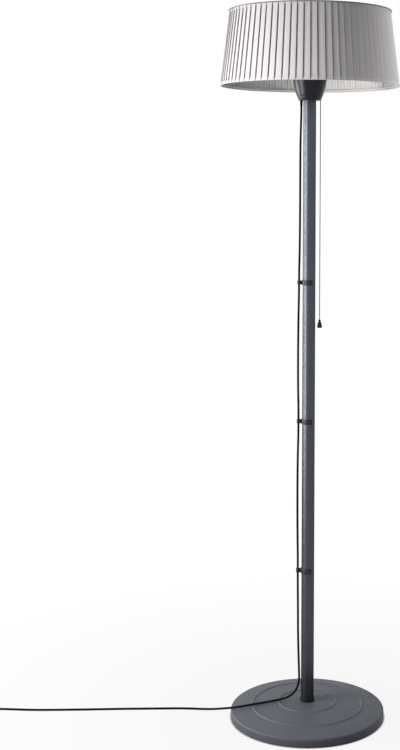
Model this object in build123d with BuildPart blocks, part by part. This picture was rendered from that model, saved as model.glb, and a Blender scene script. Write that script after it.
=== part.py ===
from build123d import *
import os
from math import atan2, cos, degrees, exp, pi, radians, sin, sqrt, tan

# Infrared patio heater tower styled as a floor lamp: a weighted round base, a slim two-piece pole,
# a bell-shaped cup with the pull switch, and a ring heater under a knife-pleated drum shade.
# Millimetres. +Z is up, the floor is Z = 0 and the pole stands on the Z axis. -Y is the front,
# the mains lead runs down the -X side and the pull cord hangs on the +X side.

os.makedirs("parts", exist_ok=True)

# ------------------------------------------------------------------ driving dimensions
# Small fasteners and wires are prisms with few sides
screw_sides = 8
round_sides = 24
wire_sides = 48

# Fits
slide_gap = 0.1  # between a tube and what is pushed into or over it
rest_gap = 0.3  # between faces that must not rub
running_gap = 0.05  # between a turning part and its pin
cord_gap = 0.1  # between the pull cord and its bush

# Base
base_dia = 454.0
base_top_z = 45.5  # crown of the cover
base_rim_z = 24.0  # where the dome would meet the rim's wall
base_rim_round = 5.0
rim_facets = 3  # flats that make up the rounded rim
base_wall = 1.5
base_rim_lift = 2.0  # the rim stops this far above the floor
bead_radii = (84.0, 162.0)  # raised rings pressed in the dome
bead_width = 8.0
bead_top_width = 4.0
bead_height = 2.0
crown_flat_dia = 45.0  # flat middle that the pole stands on
crown_slope = 1.5  # run from the flat to the dome
foot_count = 6
foot_dia = 24.0
foot_height = 4.0
foot_inset = 17.5  # between a foot and the cover's wall
plate_wall = 1.5
plate_hole_dia = 60.0
plate_screw_count = 3
plate_screw_dia = 5.0
plate_screw_head_dia = 9.4
plate_screw_length = 16.0
plate_screw_circle_dia = 250.0
ballast_side_gap = 7.0
pocket_dia = 46.0
pocket_depth = 12.0
bolt_dia = 10.0
bolt_head_across = 17.0
bolt_head_height = 6.4
washer_dia = 30.0
washer_wall = 2.5
bolt_reach = 38.0  # how far the bolt goes up into the pole

# Pole
pole_dia = 38.0
pole_wall = 1.5
foot_insert_flange = 3.0
foot_insert_length = 50.0
foot_ring_wall = 2.4
foot_ring_height = 9.0
foot_ring_bevel = 1.2
pole_lower_length = 1307.5
joint_band_height = 14.5
joint_band_chamfer = 0.5
joint_spigot_length = 55.0
joint_bore_dia = 28.0
pole_upper_length = 491.5

# Cable clips
clip_shares = {"lower": 0.2937, "middle": 0.6333, "upper": 0.9495}  # up the lower tube
clip_wall = 2.3
clip_height = 15.0
clip_reach_deg = 118.0  # how far each arm reaches round from the lead's side
clip_ring_x = 29.8
clip_ring_wall = 2.4
clip_ring_height = 12.0
clip_ring_slot = 3.6

# Mains lead and its coil
lead_dia = 6.5
lead_sides = 8
lead_last_run = 72.0
corner_share = 0.45  # of the shorter run, taken up by each corner's arc
coil_centre_x = -972.0
coil_centre_y = -10.0
coil_start_dia = 81.0
coil_gap = 0.6  # between turns
coil_turns = 2.25
coil_reverse_turns = 1.0

# Mains plug, lying on its back
plug_width = 49.0
plug_length = 50.0
plug_height = 24.0
plug_neck_width = 26.0
plug_shoulder = 16.0  # length over which the body widens from its neck
plug_edge_bevel = 3.0
plug_side_taper = 3.0
plug_grip_length = 30.0
plug_grip_dia = 7.8
plug_grip_taper = 2.0
plug_pin_base = 9.5  # from the far edge to the middle of the earth pin
plug_pin_pitch = 22.2
plug_line_pin = (4.0, 6.35, 17.7)  # along the lead, across it, height
plug_earth_pin = (8.0, 4.0, 22.7)
plug_pin_bevel = 1.0
plug_fuse_size = (12.0, 9.0, 1.2)  # across the plug, along it, depth

# Cup
cup_bottom_depth = 30.0  # how far the pole reaches up into the cup
cup_floor_dia = 63.2
cup_inner_floor_dia = 62.0
cup_split = 13.0  # height of the seam above the cup's floor
cup_curve_top_dia = 114.5  # the bell's outline closes in on this diameter
cup_curve_drop = 24.66
cup_curve_height = 48.0
cup_curve_shares = (0.01, 0.11, 0.23, 0.41, 0.64)  # of the cup's height, where the curve is drawn
cup_height = 118.0
cup_wall = 2.4
cup_flange_dia = 126.0
cup_flange_wall = 3.0
cup_lip_height = 4.0
cup_screw_count = 3
cup_screw_circle_dia = 117.0
cup_screw_dia = 3.5
cup_screw_head_dia = 6.4
cup_screw_head_height = 2.2
cup_screw_length = 9.0
set_screw_dia = 6.0
set_screw_length = 5.0
set_screw_height = 18.0  # above the cup's floor

# Mains lead's entry
gland_x = -25.2
gland_dia = 9.2
gland_taper = 3.0
gland_below = 14.0
gland_above = 10.0
gland_collar_dia = 11.0
gland_collar_height = 2.5

# Pull switch
pull_x = 31.8
pull_dia = 2.2
pull_travel = 10.0
bush_dia = 4.2
bush_height = 12.0
knob_top_z = 1180.0
knob_height = 25.0
knob_dia = 15.5
knob_top_dia = 5.6
knob_edge = 3.0
knob_edge_taper = 15.0
knob_sides = 24
chassis_below_cup_top = 30.0
chassis_wall = 1.5
chassis_dia = 90.0
case_width = 22.5
case_depth = 22.0
case_height = 38.0
case_wall = 1.5
case_clear = 1.5  # between the post and the case
rotor_dia = 9.0
rotor_width = 6.0
rotor_root_dia = 7.0
spring_dia = 6.4
rotor_ratchet_teeth = 8
ratchet_width = 2.0
ratchet_tip_share = 0.9  # how far round each tooth's step its tip lies
rotor_axis_drop = 20.0  # below the case's top
switch_pin_dia = 3.0
pull_to_rotor_gap = 0.3
spring_wire = 1.2
contact_size = (1.0, 4.0, 9.0)
contact_count = 3
terminal_size = (18.0, 28.0, 16.0)
terminal_hole_dia = 4.0
terminal_hole_pitch = 9.0
tilt_size = (16.0, 14.0, 22.0)
tilt_clear = 2.0
tilt_bevel = 1.5

# Heater
post_wall = 2.0
post_grip = 70.0  # length of the post inside the upper tube
hub_flange_dia = 126.0
hub_flange_wall = 3.0
dish_wall = 1.2
dish_hub_dia = 144.0
dish_crown_inner_dia = 184.0
dish_crown_margin = 1.8  # from the lamp brackets' corners to the crown's edge
dish_crown_rise = 36.0
dish_mouth_dia = 400.0
dish_mouth_drop = 4.0  # the rim lies below the hub
rim_width = 16.0
housing_wall = 1.0
housing_setback = 2.0  # from the dish's mouth to the housing's side
housing_top_rise = 62.0
tube_count = 3  # straight lamps in a triangle round the post
tube_from_axis = 104.0
tube_dia = 11.0
tube_wall = 1.0
tube_length = 200.0
tube_lift = 16.0  # the lamps' axes above the rim
tube_end_length = 22.0
tube_end_size = 15.0
filament_dia = 2.0
bracket_wall = 1.5
bracket_width = 12.0
bracket_foot = 9.6
guard_ring_dias = (136.0, 203.0, 270.0, 337.0)
guard_wire = 3.0
guard_spokes = 6
guard_weld = 0.3  # how deep crossing wires sink into each other
guard_tab_width = 13.0
guard_tab_wall = 1.5
guard_tab_inset = 1.0  # the tabs end this far inside the rim
rim_screw_dia = 4.0
rim_screw_head_dia = 7.6
rim_screw_head_height = 2.6
rim_screw_length = 7.0

# Shade
shade_bottom_dia = 535.0
shade_top_dia = 481.0
shade_height = 223.0
shade_drop = 42.0  # the shade's bottom edge above the cup's floor
pleat_count = 80
pleat_depth = 3.2
pleat_overhang = 1.4  # how far a fold hangs over the next band
fabric_wall = 1.3
lining_wall = 0.8
frame_wire = 4.0
frame_inset = 3.0  # the rings' distance from the lining's edges
strut_count = 6
strut_start_deg = 30.0
arm_count = 3
arm_width = 16.0
arm_wall = 3.0
spider_hub_dia = 44.0
trim_width = 9.0
trim_wall = 0.8
post_plug_flange = 3.0
post_plug_depth = 30.0
stud_dia = 8.0
cap_wall = 1.0
cap_lip = 2.0
cap_side_gap = 0.6  # between the cap's lip and the trim
cap_rise = 7.0
cap_rise_dia = 300.0  # the raised middle of the cap
cap_washer_dia = 24.0
cap_washer_wall = 1.6
cap_nut_across = 13.0
cap_nut_height = 6.5
cap_nut_dome = 6.0
cap_nut_taper = 35.0

# ------------------------------------------------------------------ derived places
base_r = base_dia / 2
pole_r = pole_dia / 2
tube_bore_r = pole_r - pole_wall
spigot_r = tube_bore_r - slide_gap
lead_r = lead_dia / 2
pull_r = pull_dia / 2

foot_circle_r = base_r - base_wall - foot_inset - foot_dia / 2
plate_z = foot_height
ballast_z = plate_z + plate_wall
ballast_r = base_r - base_wall - ballast_side_gap
pocket_top_z = ballast_z + pocket_depth
bolt_hole_r = bolt_dia / 2 + slide_gap

pole_foot_z = base_top_z + foot_insert_flange
joint_z = pole_foot_z + pole_lower_length
clip_heights = {place: pole_foot_z + share * pole_lower_length for place, share in clip_shares.items()}
pole_upper_z = joint_z + joint_band_height
pole_top_z = pole_upper_z + pole_upper_length

cup_z = pole_top_z - cup_bottom_depth
cup_split_z = cup_z + cup_split
cup_top_z = cup_z + cup_height
cup_bore_r = pole_r + rest_gap
chassis_z = cup_top_z - chassis_below_cup_top

dish_hub_z = cup_top_z
rim_z = dish_hub_z - dish_mouth_drop
dish_mouth_r = dish_mouth_dia / 2
rim_r = dish_mouth_r + rim_width
housing_side_r = dish_mouth_r + housing_setback
guard_outer_r = dish_mouth_r + guard_wire
rim_screw_circle_r = (guard_outer_r + guard_wire / 2 + rim_r) / 2
housing_rim_z = rim_z + dish_wall
tube_z = rim_z + tube_lift
post_r = spigot_r
post_hole_r = post_r + slide_gap

shade_z = cup_z + shade_drop
shade_top_z = shade_z + shade_height
fold_r_bottom = shade_bottom_dia / 2
fold_r_top = shade_top_dia / 2


def dome_z(r):
    """Height of the base cover's dome at radius r, without its beads."""
    return base_top_z - (base_top_z - base_rim_z) * (r / base_r) ** 2


def cup_r(height):
    """Outer radius of the bell at a height above the cup's floor."""
    return cup_curve_top_dia / 2 - cup_curve_drop * exp(-height / cup_curve_height)


def fold_r(z):
    """Outer radius of the pleats' folds at height z."""
    share = (z - shade_z) / shade_height
    return fold_r_bottom + share * (fold_r_top - fold_r_bottom)


def lining_r(z):
    """Outer radius of the shade's lining at height z."""
    return fold_r(z) - pleat_depth - fabric_wall - rest_gap


def keep(part, name):
    """Labels a finished piece and writes it to its own file."""
    part.label = name
    export_step(part, f"parts/{name}.step")


def at_angles(radius, count, start=0.0):
    """Points evenly spaced on a circle round the pole."""
    angles = [radians(start + 360 * i / count) for i in range(count)]
    return [(radius * cos(a), radius * sin(a)) for a in angles]


# ------------------------------------------------------------------ base
with BuildPart() as base_feet:
    with BuildSketch():
        with PolarLocations(foot_circle_r, foot_count):
            RegularPolygon(foot_dia / 2, 2 * screw_sides)
    extrude(amount=foot_height)
keep(base_feet.part, "base_feet")

with BuildPart() as base_plate:
    with BuildSketch(Plane.XY.offset(plate_z)):
        Circle(base_r - base_wall - rest_gap)
        Circle(plate_hole_dia / 2, mode=Mode.SUBTRACT)
        with PolarLocations(plate_screw_circle_dia / 2, plate_screw_count):
            RegularPolygon(plate_screw_head_dia / 2 + slide_gap, screw_sides, mode=Mode.SUBTRACT)
    extrude(amount=plate_wall)
keep(base_plate.part, "base_plate")

with BuildPart() as plate_screws:
    with BuildSketch(Plane.XY.offset(plate_z)):
        with PolarLocations(plate_screw_circle_dia / 2, plate_screw_count):
            RegularPolygon(plate_screw_head_dia / 2, screw_sides)
    extrude(amount=plate_wall)
    with BuildSketch(Plane.XY.offset(ballast_z)):
        with PolarLocations(plate_screw_circle_dia / 2, plate_screw_count):
            RegularPolygon(plate_screw_dia / 2, screw_sides)
    extrude(amount=plate_screw_length)
keep(plate_screws.part, "plate_screws")


def dome_points(radii, drop=0.0):
    """Points on the dome at the given radii, lowered by drop."""
    return [(r, dome_z(r) - drop) for r in radii]


crown_r = crown_flat_dia / 2
dome_start = crown_r + crown_slope
inner_wall_r = base_r - base_wall
boss_z = base_top_z - base_wall

with BuildPart() as base_ballast:
    ballast_line = dome_points((ballast_r, *reversed(bead_radii), crown_r), base_wall + rest_gap)
    with BuildSketch(Plane.XZ):
        with BuildLine():
            Polyline(
                *ballast_line,
                (crown_r - rest_gap, boss_z),
                (bolt_hole_r, boss_z),
                (bolt_hole_r, pocket_top_z),
                (pocket_dia / 2, pocket_top_z),
                (pocket_dia / 2, ballast_z),
                (ballast_r, ballast_z),
                close=True,
            )
        make_face()
    revolve(axis=Axis.Z)
    with BuildSketch(Plane.XY.offset(ballast_z)):
        with PolarLocations(plate_screw_circle_dia / 2, plate_screw_count):
            RegularPolygon(plate_screw_dia / 2 + slide_gap, screw_sides)
    extrude(amount=plate_screw_length + rest_gap, mode=Mode.SUBTRACT)
keep(base_ballast.part, "base_ballast")

bead_line = []
for bead_r in bead_radii:
    bead_top_z = dome_z(bead_r) + bead_height
    bead_line += dome_points((bead_r - bead_width / 2,))
    bead_line += [(bead_r - bead_top_width / 2, bead_top_z), (bead_r + bead_top_width / 2, bead_top_z)]
    bead_line += dome_points((bead_r + bead_width / 2,))

rim_line = []
for i in range(rim_facets + 1):
    rim_angle = radians(90 - 90 * i / rim_facets)
    edge_r = base_r - base_rim_round * (1 - cos(rim_angle))
    rim_line.append((edge_r, dome_z(base_r - base_rim_round) - base_rim_round * (1 - sin(rim_angle))))

with BuildPart() as base_cover:
    with BuildSketch(Plane.XZ):
        with BuildLine():
            Polyline(
                (bolt_hole_r, boss_z),
                (bolt_hole_r, base_top_z),
                (crown_r, base_top_z),
                *dome_points((dome_start,)),
                *bead_line,
                *rim_line,
                (base_r, base_rim_lift),
                (inner_wall_r, base_rim_lift),
                (inner_wall_r, dome_z(base_r) - base_rim_round),
                *dome_points((base_r - base_rim_round, *reversed(bead_radii), dome_start), base_wall),
                (crown_r, boss_z),
                close=True,
            )
        make_face()
    revolve(axis=Axis.Z)
keep(base_cover.part, "base_cover")

bolt_head_z = pocket_top_z - washer_wall - bolt_head_height
bolt_top_z = base_top_z + bolt_reach
with BuildPart() as base_bolt:
    with BuildSketch(Plane.XY.offset(bolt_head_z)):
        RegularPolygon(bolt_head_across / 2, 6, major_radius=False)
    extrude(amount=bolt_head_height)
    with BuildSketch(Plane.XY.offset(bolt_head_z + bolt_head_height)):
        RegularPolygon(bolt_dia / 2, 2 * screw_sides)
    extrude(amount=bolt_top_z - bolt_head_z - bolt_head_height)
keep(base_bolt.part, "base_bolt")

with BuildPart() as base_washer:
    with BuildSketch(Plane.XY.offset(pocket_top_z - washer_wall)):
        RegularPolygon(washer_dia / 2, 2 * screw_sides)
        Circle(bolt_hole_r, mode=Mode.SUBTRACT)
    extrude(amount=washer_wall)
keep(base_washer.part, "base_washer")

with BuildPart() as pole_foot_ring:
    with BuildSketch(Plane.XY.offset(base_top_z)):
        Circle(pole_r + slide_gap + foot_ring_wall)
        Circle(pole_r + slide_gap, mode=Mode.SUBTRACT)
    extrude(amount=foot_ring_height)
    chamfer(pole_foot_ring.edges().group_by(Axis.Z)[-1].sort_by(SortBy.RADIUS)[-1], foot_ring_bevel)
keep(pole_foot_ring.part, "pole_foot_ring")

# ------------------------------------------------------------------ pole
with BuildPart() as pole_foot_insert:
    with BuildSketch(Plane.XY.offset(base_top_z)):
        Circle(pole_r)
    extrude(amount=foot_insert_flange)
    with BuildSketch(Plane.XY.offset(pole_foot_z)):
        Circle(spigot_r)
    extrude(amount=foot_insert_length)
    with BuildSketch(Plane.XY.offset(base_top_z)):
        Circle(bolt_hole_r)
    extrude(amount=bolt_reach + rest_gap, mode=Mode.SUBTRACT)
keep(pole_foot_insert.part, "pole_foot_insert")

with BuildPart() as pole_lower:
    with BuildSketch(Plane.XY.offset(pole_foot_z)):
        Circle(pole_r)
        Circle(tube_bore_r, mode=Mode.SUBTRACT)
    extrude(amount=pole_lower_length)
keep(pole_lower.part, "pole_lower")

with BuildPart() as pole_joint:
    with BuildSketch(Plane.XY.offset(joint_z)):
        Circle(pole_r)
    extrude(amount=joint_band_height)
    chamfer(pole_joint.edges().filter_by(GeomType.CIRCLE), joint_band_chamfer)
    with BuildSketch(Plane.XY.offset(joint_z - joint_spigot_length)):
        Circle(spigot_r)
    extrude(amount=2 * joint_spigot_length + joint_band_height)
    with BuildSketch(Plane.XY.offset(joint_z - joint_spigot_length)):
        Circle(joint_bore_dia / 2)
    extrude(amount=2 * joint_spigot_length + joint_band_height, mode=Mode.SUBTRACT)
keep(pole_joint.part, "pole_joint")

set_screw_z = cup_z + set_screw_height
with BuildPart() as pole_upper:
    with BuildSketch(Plane.XY.offset(pole_upper_z)):
        Circle(pole_r)
        Circle(tube_bore_r, mode=Mode.SUBTRACT)
    extrude(amount=pole_upper_length)
    with BuildSketch(Plane.XZ.offset(-pole_dia)):
        with Locations((0, set_screw_z)):
            RegularPolygon(set_screw_dia / 2 + slide_gap, screw_sides)
    extrude(amount=2 * pole_dia, mode=Mode.SUBTRACT)
keep(pole_upper.part, "pole_upper")

# ------------------------------------------------------------------ cable clips
clip_bore_r = pole_r + slide_gap
clip_outer_r = clip_bore_r + clip_wall
clip_ring_bore_r = lead_r + rest_gap
clip_ring_r = clip_ring_bore_r + clip_ring_wall


def make_clip(name, height):
    """A C-shaped snap clip round the pole with an open ring for the lead on its -X side."""
    with BuildPart() as clip:
        with BuildSketch(Plane.XY.offset(height - clip_height / 2)):
            RegularPolygon(clip_outer_r, 2 * round_sides)
            with BuildLine():
                mouth_angles = [radians(180 - clip_reach_deg), radians(clip_reach_deg - 180)]
                mouth = [(pole_dia * cos(a), pole_dia * sin(a)) for a in mouth_angles]
                Polyline((0, 0), mouth[0], (2 * pole_dia, 0), mouth[1], close=True)
            make_face(mode=Mode.SUBTRACT)
            RegularPolygon(clip_bore_r, 2 * round_sides, major_radius=False, mode=Mode.SUBTRACT)
        extrude(amount=clip_height)
        with BuildSketch(Plane.XY.offset(height - clip_ring_height / 2)):
            with Locations((-clip_ring_x, 0)):
                RegularPolygon(clip_ring_r, round_sides)
            with Locations((-(clip_ring_x + clip_outer_r) / 2, 0)):
                Rectangle(clip_ring_x - clip_outer_r + clip_wall, 2 * clip_ring_wall)
        extrude(amount=clip_ring_height)
        with BuildSketch(Plane.XY.offset(height - clip_ring_height / 2)):
            with Locations((-clip_ring_x, 0)):
                RegularPolygon(clip_ring_bore_r, round_sides, major_radius=False)
            with Locations((-clip_ring_x - clip_ring_r / 2, 0)):
                Rectangle(clip_ring_r, clip_ring_slot)
        extrude(amount=clip_ring_height, mode=Mode.SUBTRACT)
    keep(clip.part, name)


for place, clip_z in clip_heights.items():
    make_clip(f"cable_clip_{place}", clip_z)

# ------------------------------------------------------------------ put-away coil of the lead
coil_start_r = coil_start_dia / 2
coil_pitch = lead_dia + coil_gap
coil_low_z = lead_r
climb_start = coil_reverse_turns - 0.25
climb_end = coil_reverse_turns + 0.25


def coil_point(turn):
    """A point of the coil's centreline: it spirals in, climbs a layer and spirals out."""
    if turn < coil_reverse_turns:
        r = coil_start_r - coil_pitch * turn
    else:
        r = coil_start_r - coil_pitch * (2 * coil_reverse_turns - turn)
    climb = min(max((turn - climb_start) / (climb_end - climb_start), 0), 1)
    z = coil_low_z + coil_pitch * (1 - cos(pi * climb)) / 2
    angle = 2 * pi * (turn + 0.25)
    return Vector(coil_centre_x + r * cos(angle), coil_centre_y + r * sin(angle), z)


def coil_tangent(turn):
    """The coil's direction, taken over a thousandth of a turn."""
    step = 0.0005
    return (coil_point(turn + step) - coil_point(turn - step)).normalized()


def biarc_middle(start, start_dir, end, end_dir):
    """Where two arcs meet that join two points with the given directions."""
    chord = end - start
    both = start_dir + end_dir
    spread = 2 * (1 - start_dir.dot(end_dir))
    along = chord.dot(both)
    reach = (-along + sqrt(along**2 + spread * chord.dot(chord))) / spread
    return (start + start_dir * reach + end - end_dir * reach) * 0.5


coil_first = coil_point(0)
coil_last = coil_point(coil_turns)
lead_meets_coil = coil_first - coil_tangent(0) * lead_dia
lead_meets_plug = coil_last + coil_tangent(coil_turns) * lead_dia

with BuildPart() as cord_coil:
    with BuildLine() as coil_path:
        Line(lead_meets_coil, coil_first)
        for quarter in range(round(4 * coil_turns)):
            turn = quarter / 4
            start = coil_point(turn)
            end = coil_point(turn + 0.25)
            start_dir = coil_tangent(turn)
            middle = biarc_middle(start, start_dir, end, coil_tangent(turn + 0.25))
            first_arc = TangentArc(start, middle, tangent=start_dir)
            TangentArc(middle, end, tangent=first_arc % 1)
        Line(coil_last, lead_meets_plug)
    with BuildSketch(Plane(origin=lead_meets_coil, z_dir=coil_tangent(0))):
        RegularPolygon(lead_r, lead_sides)
    sweep()
keep(cord_coil.part, "cord_coil")

coil_wire = coil_path.wires()[0]
coil_samples = 400
sampled = [coil_wire.position_at(i / coil_samples) for i in range(coil_samples + 1)]
half_turn_steps = round(coil_samples / coil_turns / 2)
least_gap = min(
    (sampled[i] - sampled[j]).length - lead_dia
    for i in range(coil_samples + 1)
    for j in range(i + half_turn_steps, coil_samples + 1)
)
print("coil length", round(coil_wire.length, 1), "least gap to itself", round(least_gap, 2))

# ------------------------------------------------------------------ free mains lead
gland_tip_z = cup_z - gland_below
clip_x = -clip_ring_x
lower_z = clip_heights["lower"]
middle_z = clip_heights["middle"]
upper_z = clip_heights["upper"]
lead_route = [
    Vector(gland_x, 0, gland_tip_z),
    Vector(gland_x, 0, cup_z - 50),
    Vector(-26.9, 1.0, cup_z - 97),
    Vector(-27.8, 1.6, cup_z - 177),
    Vector(-27.6, 1.1, cup_z - 332),
    Vector(-28.3, 0.4, upper_z + 85),
    Vector(clip_x, 0, upper_z + 38),
    Vector(clip_x, 0, upper_z - 38),
    Vector(-31.2, -0.8, upper_z - 100),
    Vector(-31.9, -1.3, middle_z + 198),
    Vector(-31.4, -0.8, middle_z + 96),
    Vector(clip_x, 0, middle_z + 41),
    Vector(clip_x, 0, middle_z - 41),
    Vector(-31.5, 0.9, middle_z - 106),
    Vector(-32.1, 1.3, middle_z - 216),
    Vector(-31.3, 0.9, lower_z + 116),
    Vector(clip_x, 0, lower_z + 41),
    Vector(clip_x, 0, lower_z - 41),
    Vector(-28.9, -0.5, lower_z - 102),
    Vector(-28.5, -0.9, lower_z - 175),
    Vector(-26.9, -1.3, base_top_z + 144),
    Vector(-25.0, -1.6, base_top_z + 92),
    Vector(-23.9, -2.0, base_top_z + 55),
    Vector(-35.5, -3.5, base_top_z + 26),
    Vector(-59.0, -6.0, base_top_z + 8.8),
    Vector(-92.0, -9.5, base_top_z + 2.5),
    Vector(-156.0, -18.5, base_top_z - 4.3),
    Vector(-214.0, -27.0, base_top_z - 6.9),
    Vector(-257.0, -9.0, 18.5),
    Vector(-300.0, 28.0, lead_r),
    Vector(-372.0, 45.0, lead_r),
    Vector(-462.0, 43.6, lead_r),
    Vector(-556.0, 38.6, lead_r),
    Vector(-650.0, 33.9, lead_r),
    Vector(-744.0, 31.2, lead_r),
    Vector(-822.0, 31.6, lead_r),
    lead_meets_coil - coil_tangent(0) * lead_last_run,
    lead_meets_coil,
]


def corner_radii(points):
    """The radius of each corner's arc: as large as its two runs allow."""
    radii = []
    for before, here, after in zip(points, points[1:], points[2:]):
        run_in = here - before
        run_out = after - here
        half_turn = radians(run_in.get_angle(run_out)) / 2
        radii.append(corner_share * min(run_in.length, run_out.length) / tan(half_turn))
    return radii


lead_radii = corner_radii(lead_route)
with BuildPart() as power_cord:
    with BuildLine() as lead_path:
        FilletPolyline(*lead_route, radius=lead_radii)
    with BuildSketch(Plane(origin=lead_route[0], z_dir=lead_route[1] - lead_route[0])) as lead_section:
        RegularPolygon(lead_r, lead_sides)
    sweep()
keep(power_cord.part, "power_cord")
lead_length = lead_path.wires()[0].length
print("lead radii", [round(r) for r in lead_radii])
print(
    "lead length", round(lead_length, 1),
    "volume share", round(power_cord.part.volume / lead_section.face().area / lead_length, 4),
)

# ------------------------------------------------------------------ mains plug
plug_grip_end = lead_meets_plug.Y - plug_grip_length
plug_far_y = plug_grip_end - plug_length
plug_x = lead_meets_plug.X
with BuildPart() as plug_body:
    with BuildSketch(Plane.XY):
        with BuildLine():
            Polyline(
                (plug_x - plug_neck_width / 2, plug_grip_end),
                (plug_x - plug_width / 2, plug_grip_end - plug_shoulder),
                (plug_x - plug_width / 2, plug_far_y + plug_shoulder),
                (plug_x - plug_neck_width / 2, plug_far_y),
                (plug_x + plug_neck_width / 2, plug_far_y),
                (plug_x + plug_width / 2, plug_far_y + plug_shoulder),
                (plug_x + plug_width / 2, plug_grip_end - plug_shoulder),
                (plug_x + plug_neck_width / 2, plug_grip_end),
                close=True,
            )
        make_face()
    extrude(amount=plug_height, taper=plug_side_taper)
    chamfer(plug_body.edges().group_by(Axis.Z)[-1], plug_edge_bevel)
    with BuildSketch(Plane(origin=lead_meets_plug, z_dir=coil_tangent(coil_turns))):
        RegularPolygon(plug_grip_dia / 2, 2 * screw_sides)
    extrude(amount=plug_grip_length + plug_shoulder, taper=-plug_grip_taper)
    with BuildSketch(Plane.XY.offset(plug_height - plug_fuse_size[2])):
        with Locations((plug_x, plug_far_y + plug_pin_base + plug_pin_pitch / 2)):
            Rectangle(plug_fuse_size[0], plug_fuse_size[1])
    extrude(amount=plug_fuse_size[2], mode=Mode.SUBTRACT)
    split(bisect_by=Plane.XY, keep=Keep.TOP)
keep(plug_body.part, "plug_body")

earth_y = plug_far_y + plug_pin_base
line_y = earth_y + plug_pin_pitch
with BuildPart() as plug_pins:
    with BuildSketch(Plane.XY.offset(plug_height)):
        with Locations((plug_x, earth_y)):
            Rectangle(plug_earth_pin[1], plug_earth_pin[0])
    extrude(amount=plug_earth_pin[2])
    with BuildSketch(Plane.XY.offset(plug_height)):
        with Locations((plug_x - plug_pin_pitch / 2, line_y), (plug_x + plug_pin_pitch / 2, line_y)):
            Rectangle(plug_line_pin[1], plug_line_pin[0])
    extrude(amount=plug_line_pin[2])
    chamfer(plug_pins.faces().filter_by(Axis.Z).group_by(Axis.Z)[-1].edges(), plug_pin_bevel)
keep(plug_pins.part, "plug_pins")

with BuildPart() as plug_fuse_cover:
    with BuildSketch(Plane.XY.offset(plug_height - plug_fuse_size[2])):
        with Locations((plug_x, plug_far_y + plug_pin_base + plug_pin_pitch / 2)):
            Rectangle(plug_fuse_size[0] - rest_gap, plug_fuse_size[1] - rest_gap)
    extrude(amount=plug_fuse_size[2] + rest_gap)
keep(plug_fuse_cover.part, "plug_fuse_cover")

# ------------------------------------------------------------------ cup
bell_steps = [share * cup_height for share in cup_curve_shares]


def bell_solid(shrink, floor, floor_r, top):
    """The bell's form, drawn in by shrink, between a floor and a top height."""
    heights = [h for h in bell_steps if h > floor] + [top]
    outline = [(cup_r(h) - shrink, cup_z + h) for h in heights]
    with BuildPart() as form:
        with BuildSketch(Plane.XZ):
            with BuildLine():
                Polyline((0, cup_z + top), (0, cup_z + floor), (floor_r, cup_z + floor), *outline, close=True)
            make_face()
        revolve(axis=Axis.Z)
    return form.part


bell_outer = bell_solid(0, 0, cup_floor_dia / 2, cup_height - cup_flange_wall)
bell_inner = bell_solid(cup_wall, cup_wall, cup_inner_floor_dia / 2, cup_height)

with BuildPart() as cup_bell:
    add(bell_outer)
    with BuildSketch(Plane.XY.offset(cup_top_z - cup_flange_wall)):
        Circle(cup_flange_dia / 2)
        with PolarLocations(cup_screw_circle_dia / 2, cup_screw_count, start_angle=90):
            RegularPolygon(cup_screw_dia / 2 + slide_gap, screw_sides, mode=Mode.SUBTRACT)
    extrude(amount=cup_flange_wall)
    add(bell_inner, mode=Mode.SUBTRACT)
    split(bisect_by=Plane.XY.offset(cup_split_z), keep=Keep.TOP)
keep(cup_bell.part, "cup_bell")

cup_lip_r = cup_r(cup_split) - cup_wall - rest_gap
with BuildPart() as cup_ring:
    add(bell_outer)
    add(bell_inner, mode=Mode.SUBTRACT)
    split(bisect_by=Plane.XY.offset(cup_split_z), keep=Keep.BOTTOM)
    with BuildSketch(Plane.XY.offset(cup_split_z - cup_lip_height / 2)):
        Circle(cup_lip_r)
        Circle(cup_lip_r - cup_wall, mode=Mode.SUBTRACT)
    extrude(amount=cup_lip_height)
    with BuildSketch(Plane.XY.offset(cup_z)):
        Circle(cup_bore_r)
        with Locations((gland_x, 0)):
            Circle(gland_dia / 2 + slide_gap)
        with Locations((pull_x, 0)):
            Circle(bush_dia / 2 + slide_gap)
    extrude(amount=cup_height, mode=Mode.SUBTRACT)
keep(cup_ring.part, "cup_ring")

with BuildPart() as cup_screws:
    with BuildSketch(Plane.XY.offset(cup_top_z - cup_flange_wall - cup_screw_head_height)):
        with PolarLocations(cup_screw_circle_dia / 2, cup_screw_count, start_angle=90):
            RegularPolygon(cup_screw_head_dia / 2, screw_sides)
    extrude(amount=cup_screw_head_height)
    with BuildSketch(Plane.XY.offset(cup_top_z - cup_flange_wall)):
        with PolarLocations(cup_screw_circle_dia / 2, cup_screw_count, start_angle=90):
            RegularPolygon(cup_screw_dia / 2, screw_sides)
    extrude(amount=cup_screw_length)
keep(cup_screws.part, "cup_screws")

post_z = pole_top_z - post_grip
post_top_z = shade_top_z - frame_inset - frame_wire - arm_wall - post_plug_flange
with BuildPart() as head_post:
    with BuildSketch(Plane.XY.offset(post_z)):
        Circle(post_r)
        Circle(post_r - post_wall, mode=Mode.SUBTRACT)
    extrude(amount=post_top_z - post_z)
keep(head_post.part, "head_post")

with BuildPart() as set_screws:
    for side in (1, -1):
        screw_plane = Plane(origin=(0, side * (post_r + slide_gap / 2), set_screw_z), z_dir=(0, side, 0))
        with BuildSketch(screw_plane):
            RegularPolygon(set_screw_dia / 2, screw_sides)
        extrude(amount=set_screw_length)
keep(set_screws.part, "set_screws")

with BuildPart() as cup_chassis:
    with BuildSketch(Plane.XY.offset(chassis_z)):
        Circle(chassis_dia / 2)
        Circle(post_hole_r, mode=Mode.SUBTRACT)
    extrude(amount=chassis_wall)
keep(cup_chassis.part, "cup_chassis")

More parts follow.
